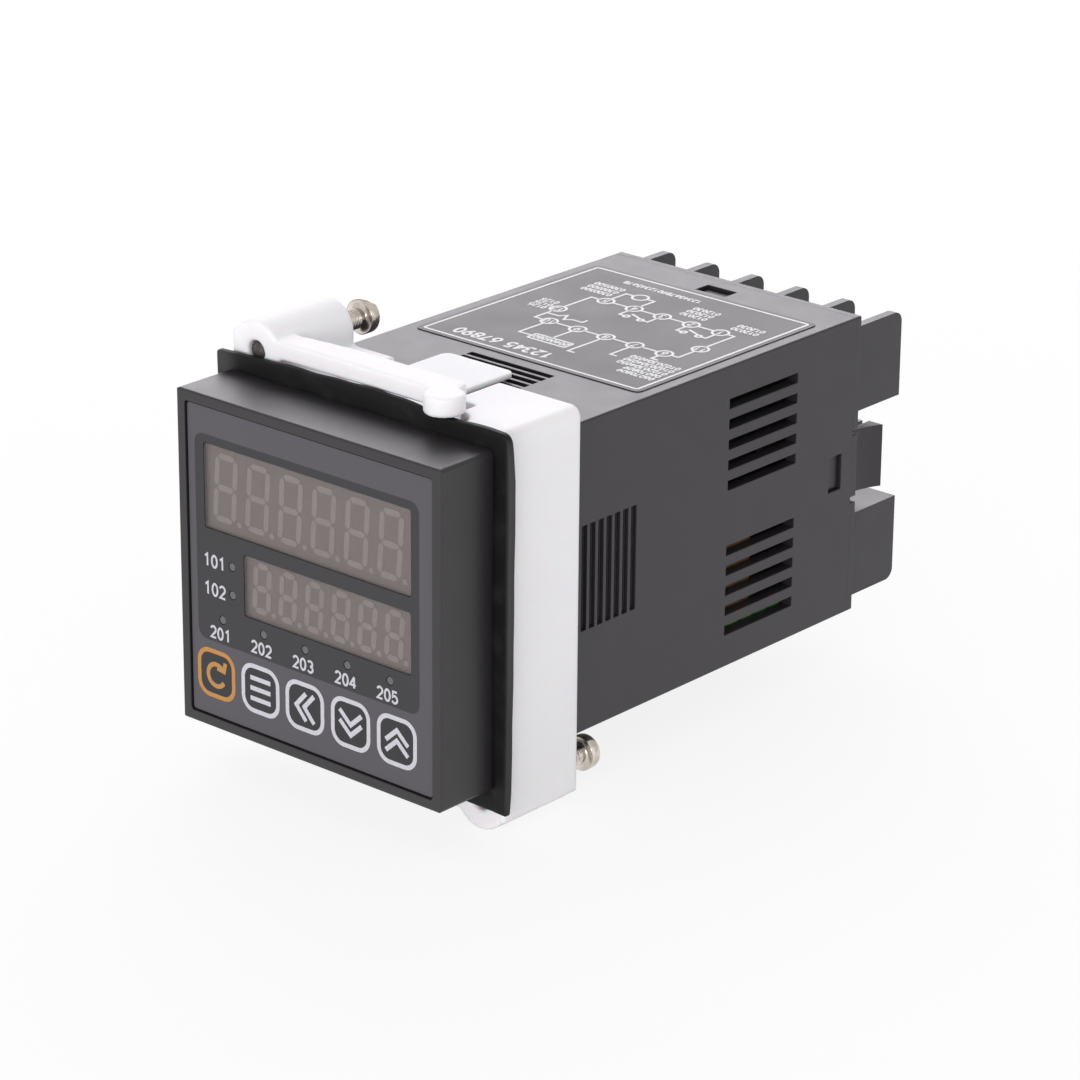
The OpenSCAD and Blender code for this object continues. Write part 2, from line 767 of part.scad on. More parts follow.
// Grooves on the top of the case
module tooth_grooves() {
    for (i = [0 : tooth_count - 1])
        translate([0, tooth_rear - tooth_slot - i * tooth_pitch, case_half - tooth_depth])
            box([-tooth_len / 2, 0, 0], [tooth_len / 2, tooth_slot, tooth_depth + past]);
}

module case() {
    color(bezel_grey) difference() {
        along_y(case_front, case_rear) difference() {
            round_rect(case_w, case_w, case_corner_r);
            square(2 * case_in, center = true);
        }
        four_sides() {
            tooth_grooves();
            box([-latch_w / 2, latch_front, case_in - past], [latch_w / 2, latch_rear, case_half + past]);
        }
        for (i = [0 : vent_count - 1], side = [-1, 1])
            translate([0, vent_y, side * (vent_first + i * vent_pitch)])
                box([-case_w, 0, -vent_h / 2], [case_w, vent_len, vent_h / 2]);
    }
}

module top_label() {
    color(bezel_grey) translate([0, label_y + label_len / 2, case_half])
        linear_extrude(label_t) round_rect(label_w, label_len, label_r);
}

module gasket() {
    color(rubber_black) along_y(-gasket_t, 0) difference() {
        round_rect(gasket_w, gasket_w, gasket_r);
        square(2 * (case_half + gasket_gap), center = true);
    }
}

// Side view of one barrier wall, y across and z up, with a round outer corner
module barrier_outline() {
    translate([flange_rear, shelf_z]) square([barrier_d - barrier_r, barrier_z - shelf_z]);
    translate([flange_rear, shelf_z]) square([barrier_d, barrier_z - shelf_z - barrier_r]);
    translate([barrier_rear - barrier_r, barrier_z - barrier_r]) circle(barrier_r);
}

// Barrier walls of one row with the shelf along their inner edge
module barrier_row() {
    span = case_w - 2 * row_side;
    for (i = [0 : row_count])
        translate([i * row_pitch - span / 2, 0, 0])
            rotate([90, 0, 90]) linear_extrude(barrier_t) barrier_outline();
    box([-span / 2, flange_rear, shelf_z], [span / 2, barrier_rear, shelf_z + shelf_t]);
}

// Walls beside a middle terminal
module middle_guard() {
    for (side = [-1, 1])
        translate([side * (row_pitch - barrier_t) / 2, flange_rear, 0])
            box([side > 0 ? 0 : -barrier_t, 0, -middle_half], [side > 0 ? barrier_t : 0, middle_d, middle_half]);
}

// Release tab at the right side, hollowed on its outer face
module release_tab() {
    tip = case_half + tab_flare;
    root = tip - tab_t - tab_flare - plug_fit;
    depth = tip - root;
    hollow_r = (tab_len * tab_len + depth * depth) / (2 * depth);
    translate([0, 0, -tab_half]) linear_extrude(2 * tab_half) {
        translate([root - tab_t, case_rear]) square([tab_t, flange_t + tab_len]);
        difference() {
            translate([root - tab_t, flange_rear]) square([tip - root + tab_t, tab_len]);
            translate([root + hollow_r, flange_rear]) circle(hollow_r, $fn = 180);
        }
    }
}

module terminal_slots() {
    for (t = terminals) {
        along_y(plug_front - past, flange_rear + past) {
            translate([t[0], t[1]]) circle(term_screw_r + fixed_fit);
            translate([t[0], t[1] + t[2] * (leg_rise + plate_t / 2)])
                square([leg_w + 2 * fixed_fit, plate_t + 2 * fixed_fit], center = true);
        }
    }
}

module terminal_block() {
    color(bezel_grey) {
        difference() {
            union() {
                along_y(plug_front, case_rear) square(2 * plug_half, center = true);
                along_y(case_rear, flange_rear) round_rect(case_w, case_w, case_corner_r);
                four_sides() {
                    hook_half = latch_w / 2 - plug_fit;
                    hook_top = case_half - latch_sink;
                    box([-hook_half, latch_front + plug_fit, 0], [hook_half, latch_rear - plug_fit, hook_top]);
                }
            }
            terminal_slots();
            for (turn = [0, 180], side = [-1, 1]) rotate([0, turn, 0])
                translate([0, 0, side * (tab_half + tab_slot / 2)])
                    box([case_in, case_rear, -tab_slot / 2], [case_half + past, flange_rear + past, tab_slot / 2]);
        }
        half_turns() {
            barrier_row();
            release_tab();
            translate([middle_x, 0, 0]) middle_guard();
        }
    }
}

module terminal_plates() {
    leg_front = side_board_rear - plug_d / 2;
    color(nickel) for (t = terminals) {
        along_y(flange_rear, flange_rear + plate_t) translate([t[0], t[1]]) difference() {
            square([plate_w, plate_len], center = true);
            circle(term_screw_r + fixed_fit);
        }
        along_y(leg_front, flange_rear)
            translate([t[0], t[1] + t[2] * (leg_rise + plate_t / 2)]) square([leg_w, plate_t], center = true);
    }
}

// Cross cut into the rear face of a screw head that ends at y
module head_cross(y) {
    along_y(y - cross_depth, y + past) {
        square([cross_len, cross_w], center = true);
        square([cross_w, cross_len], center = true);
    }
}

// Pan head that starts at y, with its edge rounded by an arc of the head's height
module pan_head(y, r, h) {
    round_over = h / 2;
    translate([0, y, 0]) rotate([-90, 0, 0]) {
        cylinder(h - round_over, r = r);
        cylinder(h, r = r - round_over);
        translate([0, 0, h - round_over]) rotate_extrude() translate([r - round_over, 0]) intersection() {
            circle(round_over);
            square(round_over);
        }
    }
}

module terminal_screws() {
    color(nickel) for (t = terminals) translate([t[0], 0, t[1]]) {
        along_y(washer_rear - washer_t - term_screw_len, washer_rear) circle(term_screw_r);
        along_y(washer_rear - washer_t, washer_rear) square(washer_w, center = true);
        difference() {
            pan_head(washer_rear, term_head_r, term_head_h);
            head_cross(washer_rear + term_head_h);
        }
    }
}

// Spring bar from its ear to its round end, seen from above
module spring_outline() {
    start = -ear_x;
    rear = bracket_front + spring_d;
    polygon([[start, bracket_front], [pad_x, bracket_front], [pad_x, rear - spring_r], [pad_x - spring_r, rear],
        [-tongue_w / 2, rear], [start, rear - spring_taper]]);
    translate([pad_x - spring_r, rear - spring_r]) circle(spring_r);
    translate([pad_x, pad_y]) circle(pad_r);
}

module tongue_outline() {
    rear = bracket_front + tongue_len;
    translate([tongue_left, bracket_front]) square([tongue_w, tongue_len - tongue_r]);
    translate([tongue_left + tongue_r, bracket_front]) square([tongue_w - 2 * tongue_r, tongue_len]);
    for (side = [tongue_left + tongue_r, tongue_left + tongue_w - tongue_r])
        translate([side, rear - tongue_r]) circle(tongue_r);
}

// Side wall at the right and the thick end of the top wall, in the front view
module wall_outline() {
    round_over = return_t / 2;
    low = ear_z + wall_past;
    translate([bracket_in, -low]) square([bracket_wall, low + return_z - round_over]);
    translate([bracket_out - return_len, bracket_in]) square([return_len - round_over, return_t]);
    translate([bracket_in, bracket_in]) square([bracket_wall, return_t - round_over]);
    translate([bracket_out - round_over, return_z - round_over]) circle(round_over);
}

// Half of the bracket: right wall, top wall, upper left ear, upper bar and upper tongue
module bracket_half() {
    strip_end = tongue_left - tongue_slot;
    carry_rear = bracket_front + strip_carry;
    pad_room = pad_r + spring_clear;
    difference() {
        along_y(bracket_front, bracket_rear) wall_outline();
        translate([pad_x, pad_y, strip_z]) cylinder(return_t, r = pad_room);
        box([0, bracket_front - past, strip_z], [pad_x, carry_rear, return_z + past]);
    }
    along_y(bracket_front, bracket_rear) translate([-ear_x, ear_z]) circle(ear_r);
    box([-bracket_out, bracket_front, bracket_in], [strip_end, bracket_rear, block_z]);
    box([strip_end, bracket_front, bracket_in], [bracket_out - return_len, carry_rear, strip_z]);
    translate([0, 0, bracket_in]) linear_extrude(tongue_t) tongue_outline();
    translate([0, 0, spring_z]) linear_extrude(spring_t) spring_outline();
}

module bracket() {
    color(nylon) difference() {
        half_turns() bracket_half();
        along_y(bracket_front - pad_out - past, bracket_front + tongue_len + past)
            square(2 * bracket_in, center = true);
        half_turns() along_y(bracket_front - past, bracket_rear + past)
            translate([-ear_x, ear_z]) circle(clamp_r + clamp_fit);
    }
}

module clamp_screw() {
    color(nickel) translate([-ear_x, 0, ear_z]) {
        along_y(clamp_front, clamp_seat) circle(clamp_r);
        difference() {
            pan_head(clamp_seat, clamp_head_r, clamp_head_h);
            head_cross(clamp_seat + clamp_head_h);
        }
    }
}

module upper_screw() { clamp_screw(); }
module lower_screw() { rotate([0, 180, 0]) clamp_screw(); }

bezel();
front_sheet();
window_filter();
upper_digits();
upper_segments();
lower_digits();
lower_segments();
indicator_leds();
reset_key();
mode_key();
left_key();
down_key();
up_key();
key_switches();
display_board();
upper_board();
lower_board();
controller_chip();
board_connectors();
output_relays();
power_transformer();
capacitors();
film_capacitor();
case();
top_label();
gasket();
terminal_block();
terminal_plates();
terminal_screws();
bracket();
upper_screw();
lower_screw();
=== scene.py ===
import math
import bpy
import numpy as np
from mathutils import Matrix, Vector


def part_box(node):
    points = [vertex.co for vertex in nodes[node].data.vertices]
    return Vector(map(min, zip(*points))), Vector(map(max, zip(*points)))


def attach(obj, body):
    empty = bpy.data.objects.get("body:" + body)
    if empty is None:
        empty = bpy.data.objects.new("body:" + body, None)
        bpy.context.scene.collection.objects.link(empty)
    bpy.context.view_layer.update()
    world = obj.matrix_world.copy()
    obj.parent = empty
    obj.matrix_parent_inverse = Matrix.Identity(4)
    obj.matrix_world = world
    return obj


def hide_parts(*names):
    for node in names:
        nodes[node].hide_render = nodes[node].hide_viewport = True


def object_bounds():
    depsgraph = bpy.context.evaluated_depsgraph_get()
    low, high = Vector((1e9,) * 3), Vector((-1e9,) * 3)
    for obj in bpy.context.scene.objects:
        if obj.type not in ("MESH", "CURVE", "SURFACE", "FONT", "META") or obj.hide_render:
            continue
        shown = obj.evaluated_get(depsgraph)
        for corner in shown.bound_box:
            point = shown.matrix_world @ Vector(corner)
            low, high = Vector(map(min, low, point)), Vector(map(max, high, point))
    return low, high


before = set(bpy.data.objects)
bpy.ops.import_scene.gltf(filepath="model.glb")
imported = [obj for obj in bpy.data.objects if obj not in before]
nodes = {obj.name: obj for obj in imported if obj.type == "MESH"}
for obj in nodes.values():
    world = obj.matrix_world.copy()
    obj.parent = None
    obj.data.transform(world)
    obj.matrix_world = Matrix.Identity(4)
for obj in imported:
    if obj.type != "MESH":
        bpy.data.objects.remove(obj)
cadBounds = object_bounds()
mm = 0.001
print("frame loaded with", len(nodes), "nodes")


class Value:  # one shader socket; sums and products of these add Math nodes
    def __init__(self, tree, socket):
        self.tree = tree
        self.socket = socket

    def node(self, kind, settings=None, inputs=None, out=0):
        made = self.tree.nodes.new(kind)
        for key, setting in (settings or {}).items():
            setattr(made, key, setting)
        for key, given in (inputs or {}).items():
            if isinstance(given, Value):
                self.tree.links.new(given.socket, made.inputs[key])
            else:
                made.inputs[key].default_value = given
        return Value(self.tree, made.outputs[out])

    def math(self, operation, *terms):
        return self.node("ShaderNodeMath", {"operation": operation}, dict(enumerate(terms)))

    def __add__(self, other):
        return self.math("ADD", self, other)

    def __sub__(self, other):
        return self.math("SUBTRACT", self, other)

    def __rsub__(self, other):
        return self.math("SUBTRACT", other, self)

    def __mul__(self, other):
        return self.math("MULTIPLY", self, other)

    __radd__ = __add__
    __rmul__ = __mul__

    def along(self, axis):  # self is the place in metres; gives the way along one axis in mm
        return self.node("ShaderNodeSeparateXYZ", {}, {0: self}, axis) * (1 / mm)

    def noise(self, scale, detail=2.0):  # self is the place in metres
        return self.node("ShaderNodeTexNoise", {}, {"Vector": self, "Scale": scale, "Detail": detail})

    def step(self, low, high):  # 0 before low, 1 past high, smooth between
        return self.node("ShaderNodeMapRange", {"interpolation_type": "SMOOTHSTEP"},
                         {"Value": self, "From Min": low, "From Max": high})

    def blend(self, first, second):  # self is the share of the second colour
        return self.node("ShaderNodeMix", {"data_type": "RGBA"}, {0: self, 6: first, 7: second}, 2)

    def bump(self, depth, strength=1.0, edge=0.0):  # self is the height; depth and edge radius in metres
        inputs = {"Height": self, "Distance": depth, "Strength": strength}
        if edge > 0:
            inputs["Normal"] = self.node("ShaderNodeBevel", {"samples": 6}, {"Radius": edge})
        return self.node("ShaderNodeBump", {}, inputs)


def newMaterial(name, fixed):  # a Principled material with its fixed values, and the place on the piece
    made = bpy.data.materials.new(name)
    made.use_nodes = True
    tree = made.node_tree
    shader = tree.nodes["Principled BSDF"]
    for key, given in fixed.items():
        shader.inputs[key].default_value = given
    place = Value(tree, tree.nodes.new("ShaderNodeTexCoord").outputs["Object"])

    def feed(**values):  # links what changes over the surface to the shader
        for key, given in values.items():
            tree.links.new(given.socket, shader.inputs[key.replace("_", " ")])

    return made, place, feed


# Moulded plastics: a fine grain in the height, patchy colour and gloss
plasticLooks = {
    "casePlastic": {"dark": (0.0215, 0.0180, 0.0232, 1), "light": (0.0268, 0.0226, 0.0286, 1),
                    "gloss": (0.36, 0.46), "grain": 9000, "depth": 0.000012, "edge": 0.0002},
    "bezelPlastic": {"dark": (0.0152, 0.0130, 0.0150, 1), "light": (0.0196, 0.0167, 0.0193, 1),
                     "gloss": (0.37, 0.47), "grain": 9000, "depth": 0.000010, "edge": 0.00025},
    "nylon": {"dark": (0.82, 0.81, 0.83, 1), "light": (0.87, 0.865, 0.88, 1),
              "gloss": (0.48, 0.60), "grain": 2500, "depth": 0.000015},
    "keyPlastic": {"dark": (0.10, 0.10, 0.11, 1), "light": (0.13, 0.13, 0.14, 1),
                   "gloss": (0.40, 0.50), "grain": 6000, "depth": 0.00001},
    "blackPlastic": {"dark": (0.012, 0.012, 0.013, 1), "light": (0.02, 0.02, 0.021, 1),
                     "gloss": (0.35, 0.5), "grain": 6000, "depth": 0.00001},
    "relayPlastic": {"dark": (0.50, 0.19, 0.035, 1), "light": (0.58, 0.24, 0.05, 1),
                     "gloss": (0.3, 0.4), "grain": 6000, "depth": 0.00001},
    "windingTape": {"dark": (0.16, 0.075, 0.015, 1), "light": (0.26, 0.13, 0.025, 1),
                    "gloss": (0.25, 0.4), "grain": 3000, "depth": 0.00002},
    "capacitorSleeve": {"dark": (0.015, 0.018, 0.03, 1), "light": (0.025, 0.028, 0.045, 1),
                        "gloss": (0.2, 0.3), "grain": 3000, "depth": 0.00001},
    "filmCoat": {"dark": (0.22, 0.10, 0.02, 1), "light": (0.32, 0.15, 0.03, 1),
                 "gloss": (0.2, 0.35), "grain": 3000, "depth": 0.00002},
}
fixedLooks = {
    "nylon": {"Subsurface Weight": 0.25, "Subsurface Scale": 0.0015, "Specular IOR Level": 0.3},
    "casePlastic": {"IOR": 1.5}, "bezelPlastic": {"IOR": 1.54},
}
plasticPatches = {"colour": 90, "gloss": 220, "share": 0.7}  # noise scales, and their share in the colour


def addPlastic(name, look):
    made, place, feed = newMaterial(name, fixedLooks.get(name, {}))
    patches = place.noise(plasticPatches["colour"], 4)
    grain = place.noise(look["grain"])
    low, high = look["gloss"]
    share = plasticPatches["share"]
    feed(Base_Color=(patches * share + grain * (1 - share)).blend(look["dark"], look["light"]),
         Roughness=low + (high - low) * place.noise(plasticPatches["gloss"], 3),
         Normal=grain.bump(look["depth"], 1.0, look.get("edge", 0)))
    return made


# Bright metal: fine turning lines round or along the part show as a stretched noise
metalLooks = {
    "platedMetal": {"dark": (0.62, 0.58, 0.52, 1), "light": (0.80, 0.76, 0.70, 1), "gloss": (0.22, 0.36)},
    "screwMetal": {"dark": (0.56, 0.50, 0.44, 1), "light": (0.78, 0.72, 0.65, 1), "gloss": (0.16, 0.30)},
    # the dark tip colours below are painted shade: the screw's end that sits in the ear's hole
    "clampMetal": {"dark": (0.56, 0.50, 0.44, 1), "light": (0.78, 0.72, 0.65, 1), "gloss": (0.16, 0.30),
                   "tip": (0.052, 0.044, 0.041, 1), "tipLight": (0.15, 0.13, 0.12, 1),
                   "tipEnd": (3.2, 4.2), "tipGloss": 0.6},
}
# its spot scale and step give lighter spots in the painted shade on the screw's tip
metalGrain = {"stretch": (0.35, 3.0, 0.35), "lines": 2600, "lineDepth": 0.000008, "lineStrength": 0.6,
              "tarnish": 500, "tarnishStep": (0.35, 0.75), "bare": 1800, "bareStep": (0.45, 0.8)}


def addMetal(name, look):
    made, place, feed = newMaterial(name, {"Metallic": 1.0})
    stretched = place.node("ShaderNodeMapping", {}, {"Vector": place, "Scale": metalGrain["stretch"]})
    lines = stretched.noise(metalGrain["lines"], 3)
    tarnish = place.noise(metalGrain["tarnish"], 3)
    low, high = look["gloss"]
    base = tarnish.step(*metalGrain["tarnishStep"]).blend(look["light"], look["dark"])
    rough = low + (high - low) * lines
    if "tip" in look:  # the screw's end deep in the ear's hole is painted dark and not metal, as painted shade of the hole, with lighter spots
        metalShare = place.along("Y").step(*look["tipEnd"])
        spots = place.noise(metalGrain["bare"]).step(*metalGrain["bareStep"])
        base = metalShare.blend(spots.blend(look["tip"], look["tipLight"]), base)
        rough = look["tipGloss"] + (rough - look["tipGloss"]) * metalShare
        feed(Metallic=metalShare)
    feed(Base_Color=base, Roughness=rough,
         Normal=lines.bump(metalGrain["lineDepth"], metalGrain["lineStrength"]))
    return made


# Black sponge rubber with fine pores, greyer towards its left and right edges, in mm across
rubberLook = {
    "dark": (0.0050, 0.0050, 0.0055, 1), "light": (0.014, 0.014, 0.015, 1),
    "edgeGrey": (0.047, 0.044, 0.046, 1), "right": (26.0, 27.0), "left": (-21.5, -25.5),
    "dust": 260, "dustStep": (0.45, 0.8),
    "pores": 4200, "poreDepth": 0.00004, "poreStrength": 0.5, "gloss": 0.5, "glossSpread": 0.18,
}


def addRubber(look):
    made, place, feed = newMaterial("gasketRubber", {"Specular IOR Level": 0.2})
    pores = place.node("ShaderNodeTexVoronoi", {"feature": "F1"},
                       {"Vector": place, "Scale": look["pores"]})
    dust = place.noise(look["dust"], 4)
    across = place.along("X")
    # greyer towards the left and right edges of the gasket
    edgeGrey = across.step(*look["right"]) + across.step(*look["left"])
    base = dust.step(*look["dustStep"]).blend(look["dark"], look["light"])
    feed(Base_Color=edgeGrey.blend(base, look["edgeGrey"]),
         Roughness=look["gloss"] + look["glossSpread"] * dust,
         Normal=pores.bump(look["poreDepth"], look["poreStrength"]))
    return made


# Green lacquered board with copper tracks under the lacquer, drawn as the joints of a brick pattern
boardLook = {"lacquer": (0.018, 0.10, 0.03, 1), "track": (0.05, 0.21, 0.06, 1),
             "bricks": 160, "brickShades": ((0, 0, 0, 1), (0.2, 0.2, 0.2, 1)), "joint": 0.04,
             "depth": 0.00003, "cloud": 400, "gloss": 0.3, "glossSpread": 0.1}


def addBoard(look):
    made, place, feed = newMaterial("circuitBoard", {})
    first, second = look["brickShades"]
    tracks = place.node("ShaderNodeTexBrick", {}, {
        "Vector": place, "Color1": first, "Color2": second, "Mortar": (1, 1, 1, 1),
        "Scale": look["bricks"], "Mortar Size": look["joint"]}, 1)
    feed(Base_Color=tracks.blend(look["lacquer"], look["track"]),
         Roughness=look["gloss"] + look["glossSpread"] * place.noise(look["cloud"]),
         Normal=tracks.bump(look["depth"]))
    return made


# Printed overlay: a frame colour, a darker panel behind the displays and darker key faces, in mm
overlayLook = {
    "frame": (0.063, 0.0585, 0.0690, 1), "panel": (0.0165, 0.0150, 0.0180, 1),
    "key": (0.0085, 0.0080, 0.0110, 1), "haze": (0.16, 0.155, 0.165, 1), "hazeShare": 0.06, "soft": 0.06,
    "panelMiddle": (-0.5, 3.55), "panelHalf": (20.5, 14.85), "panelRound": 1.6,
    "keyFirst": -17.7, "keyPitch": 8.4, "keyCount": 5, "keyHeight": -16.08, "keyHalf": 3.35,
    "keyRound": 1.9, "rowInset": 0.01,
    "cloud": 60, "grain": 7000, "grainDepth": 0.000006, "gloss": 0.36, "glossSpread": 0.1,
}


def roundBox(x, z, half, corner):  # signed distance to a rounded rectangle about the origin
    acrossX = x.math("ABSOLUTE", x) - (half[0] - corner)
    acrossZ = z.math("ABSOLUTE", z) - (half[1] - corner)
    outX, outZ = acrossX.math("MAXIMUM", acrossX, 0.0), acrossZ.math("MAXIMUM", acrossZ, 0.0)
    outside = outX.math("SQRT", outX * outX + outZ * outZ)
    inside = acrossX.math("MINIMUM", acrossX.math("MAXIMUM", acrossX, acrossZ), 0.0)
    return outside + inside - corner


def addOverlay(look):
    made, place, feed = newMaterial("printedSheet", {"IOR": 1.49})
    x, z = place.along("X"), place.along("Z")
    middleX, middleZ = look["panelMiddle"]
    panel = roundBox(x - middleX, z - middleZ, look["panelHalf"], look["panelRound"])
    halfPitch = look["keyPitch"] / 2
    rowStart = look["keyFirst"] - halfPitch
    rowEnd = rowStart + look["keyPitch"] * look["keyCount"] - look["rowInset"]
    inCell = x.math("MINIMUM", x.math("MAXIMUM", x, rowStart), rowEnd) - look["keyFirst"]
    inCell = inCell.math("WRAP", inCell, halfPitch, -halfPitch)  # each key has one cell
    key = roundBox(inCell, z - look["keyHeight"], (look["keyHalf"], look["keyHalf"]), look["keyRound"])
    cloud = place.noise(look["cloud"], 3)
    base = panel.step(look["soft"], -look["soft"]).blend(look["frame"], look["panel"])
    base = key.step(look["soft"], -look["soft"]).blend(base, look["key"])
    base = (cloud * look["hazeShare"]).blend(base, look["haze"])
    feed(Base_Color=base, Roughness=look["gloss"] + look["glossSpread"] * cloud,
         Normal=place.noise(look["grain"]).bump(look["grainDepth"]))
    return made


# Smoked window that lets the unlit digits show through
smokeLook = {"dark": (0.150, 0.132, 0.128, 1), "light": (0.190, 0.168, 0.162, 1), "haze": 70,
             "gloss": 0.22, "glossSpread": 0.14, "alpha": 0.30, "alphaSpread": 0.08}


def addSmoke(look):
    made, place, feed = newMaterial("smokeWindow", {"IOR": 1.49})
    haze = place.noise(look["haze"], 4)
    feed(Base_Color=haze.blend(look["dark"], look["light"]),
         Roughness=look["gloss"] + look["glossSpread"] * haze,
         Alpha=look["alpha"] + look["alphaSpread"] * haze)
    return made


# Unlit display plastic with a faint mottle
glowLooks = {
    "displayFace": {"dark": (0.31, 0.270, 0.258, 1), "light": (0.375, 0.328, 0.314, 1), "gloss": 0.4},
    "lightBar": {"dark": (0.56, 0.49, 0.47, 1), "light": (0.64, 0.565, 0.545, 1), "gloss": 0.35},
    "lamp": {"dark": (0.085, 0.080, 0.084, 1), "light": (0.12, 0.113, 0.118, 1), "gloss": 0.3},
}
glowMottle = {"scale": 1400, "depth": 0.00001, "glossSpread": 0.15}


def addGlow(name, look):
    made, place, feed = newMaterial(name, {})
    mottle = place.noise(glowMottle["scale"], 3)
    feed(Base_Color=mottle.blend(look["dark"], look["light"]),
         Roughness=look["gloss"] + glowMottle["glossSpread"] * mottle,
         Normal=mottle.bump(glowMottle["depth"]))
    return made


# Screen print, slightly uneven
inkLooks = {
    "whiteInk": {"dark": (0.47, 0.465, 0.505, 1), "light": (0.55, 0.545, 0.59, 1)},
    "orangeInk": {"dark": (0.39, 0.185, 0.040, 1), "light": (0.46, 0.22, 0.052, 1)},
    "labelInk": {"dark": (0.62, 0.62, 0.63, 1), "light": (0.74, 0.74, 0.75, 1)},
}
inkSpeckle = {"scale": 3500, "step": (0.3, 0.7), "depth": 0.000006, "gloss": 0.42, "glossSpread": 0.16}


def addInk(name, look):
    made, place, feed = newMaterial(name, {})
    speckle = place.noise(inkSpeckle["scale"], 3)
    feed(Base_Color=speckle.step(*inkSpeckle["step"]).blend(look["dark"], look["light"]),
         Roughness=inkSpeckle["gloss"] + inkSpeckle["glossSpread"] * speckle,
         Normal=speckle.bump(inkSpeckle["depth"]))
    return made


# Satin label stock with a little dust
labelLook = {"dark": (0.030, 0.028, 0.031, 1), "light": (0.040, 0.038, 0.041, 1), "dust": 120,
             "fibres": 1500, "fibreDepth": 0.000008, "gloss": 0.34, "glossSpread": 0.12}


def addLabelFilm(look):
    made, place, feed = newMaterial("labelFilm", {"IOR": 1.5, "Specular IOR Level": 0.2})
    fibres = place.noise(look["fibres"], 4)
    dust = place.noise(look["dust"], 4)
    feed(Base_Color=dust.blend(look["dark"], look["light"]),
         Roughness=look["gloss"] + look["glossSpread"] * dust, Normal=fibres.bump(look["fibreDepth"]))
    return made


looks = {}
for addLook, settings in ((addPlastic, plasticLooks), (addMetal, metalLooks), (addGlow, glowLooks),
                          (addInk, inkLooks)):
    looks.update({name: addLook(name, look) for name, look in settings.items()})
looks["gasketRubber"] = addRubber(rubberLook)
looks["circuitBoard"] = addBoard(boardLook)
looks["printedSheet"] = addOverlay(overlayLook)
looks["smokeWindow"] = addSmoke(smokeLook)
looks["labelFilm"] = addLabelFilm(labelLook)
print("materials made:", len(looks))

# The CAD nodes that have each finish
finishes = {
    "bezelPlastic": ["bezel"], "printedSheet": ["front_sheet"], "smokeWindow": ["window_filter"],
    "displayFace": ["upper_digits", "lower_digits"], "lightBar": ["upper_segments", "lower_segments"],
    "lamp": ["indicator_leds"], "keyPlastic": ["reset_key", "mode_key", "left_key", "down_key", "up_key"],
    "blackPlastic": ["key_switches", "controller_chip", "board_connectors"],
    "circuitBoard": ["display_board", "upper_board", "lower_board"], "relayPlastic": ["output_relays"],
    "windingTape": ["power_transformer"], "capacitorSleeve": ["capacitors"],
    "filmCoat": ["film_capacitor"],
    "casePlastic": ["case", "terminal_block"], "labelFilm": ["top_label"], "gasketRubber": ["gasket"],
    "platedMetal": ["terminal_plates"], "screwMetal": ["terminal_screws", "upper_screw", "lower_screw"],
    "nylon": ["bracket"],
}
for finish, names in finishes.items():
    for name in names:
        slots = nodes[name].data.materials
        if len(slots) == 0:
            slots.append(looks[finish])
        for index in range(len(slots)):
            slots[index] = looks[finish]

# Moulded edges: the node's triangles are joined, flat faces made whole, and sharp edges rounded
edgeRounds = {"terminal_screws": 0.08, "terminal_plates": 0.06, "top_label": 0.05}  # mm
edgeWork = {"join": 0.002, "flatAngle": 0.5, "sharpAngle": 40, "segments": 3}  # mm and degrees
for name, width in edgeRounds.items():
    joined = nodes[name].modifiers.new("joined", "WELD")
    joined.merge_threshold = edgeWork["join"] * mm
    whole = nodes[name].modifiers.new("whole", "DECIMATE")
    whole.decimate_type = "DISSOLVE"
    whole.angle_limit = math.radians(edgeWork["flatAngle"])
    rounded = nodes[name].modifiers.new("rounded", "BEVEL")
    rounded.limit_method = "ANGLE"
    rounded.angle_limit = math.radians(edgeWork["sharpAngle"])
    rounded.width = width * mm
    rounded.segments = edgeWork["segments"]
    evened = nodes[name].modifiers.new("evened", "WEIGHTED_NORMAL")
    evened.keep_sharp = False

# The nylon bracket is soft at every edge: an even fine mesh with cells in mm, then smoothed
bracketRound = {"cell": 0.32, "factor": 0.5, "repeats": 4}
fine = nodes["bracket"].modifiers.new("fine", "REMESH")
fine.mode = "VOXEL"
fine.voxel_size = bracketRound["cell"] * mm
fine.use_smooth_shade = True
soft = nodes["bracket"].modifiers.new("soft", "SMOOTH")
soft.factor, soft.iterations = bracketRound["factor"], bracketRound["repeats"]
print("edges rounded on", len(edgeRounds) + 1, "nodes")


def addPiece(name, points, faces, material, body, smooth=True):  # points in mm, in the CAD frame
    mesh = bpy.data.meshes.new(name)
    mesh.from_pydata((np.asarray(points) * mm).tolist(), [], np.asarray(faces).tolist())
    mesh.materials.append(material)
    mesh.polygons.foreach_set("use_smooth", np.full(len(mesh.polygons), smooth))
    mesh.update()
    piece = bpy.data.objects.new(name, mesh)
    bpy.context.scene.collection.objects.link(piece)
    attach(piece, body)
    return piece


def gridFaces(rows, columns, rowsClosed, columnsClosed):  # quads of a grid, row after row
    r = np.arange(rows if rowsClosed else rows - 1)[:, None]
    c = np.arange(columns if columnsClosed else columns - 1)[None, :]
    below, beside = (r + 1) % rows, (c + 1) % columns
    corners = [r * columns + c, r * columns + beside, below * columns + beside, below * columns + c]
    return np.stack([np.broadcast_to(k, (r.size, c.size)).ravel() for k in corners], 1)


def capFaces(first, count):  # a ladder of quads that closes a flat ring of an even number of points
    k = np.arange(count // 2 - 1)
    return first + np.stack([k, k + 1, count - 2 - k, count - 1 - k], 1)


def arc(middle, radii, start, end, count):  # points on an ellipse between two angles in degrees
    turn = np.radians(np.linspace(start, end, count))
    return np.stack([middle[0] + radii[0] * np.cos(turn), middle[1] + radii[1] * np.sin(turn)], 1)


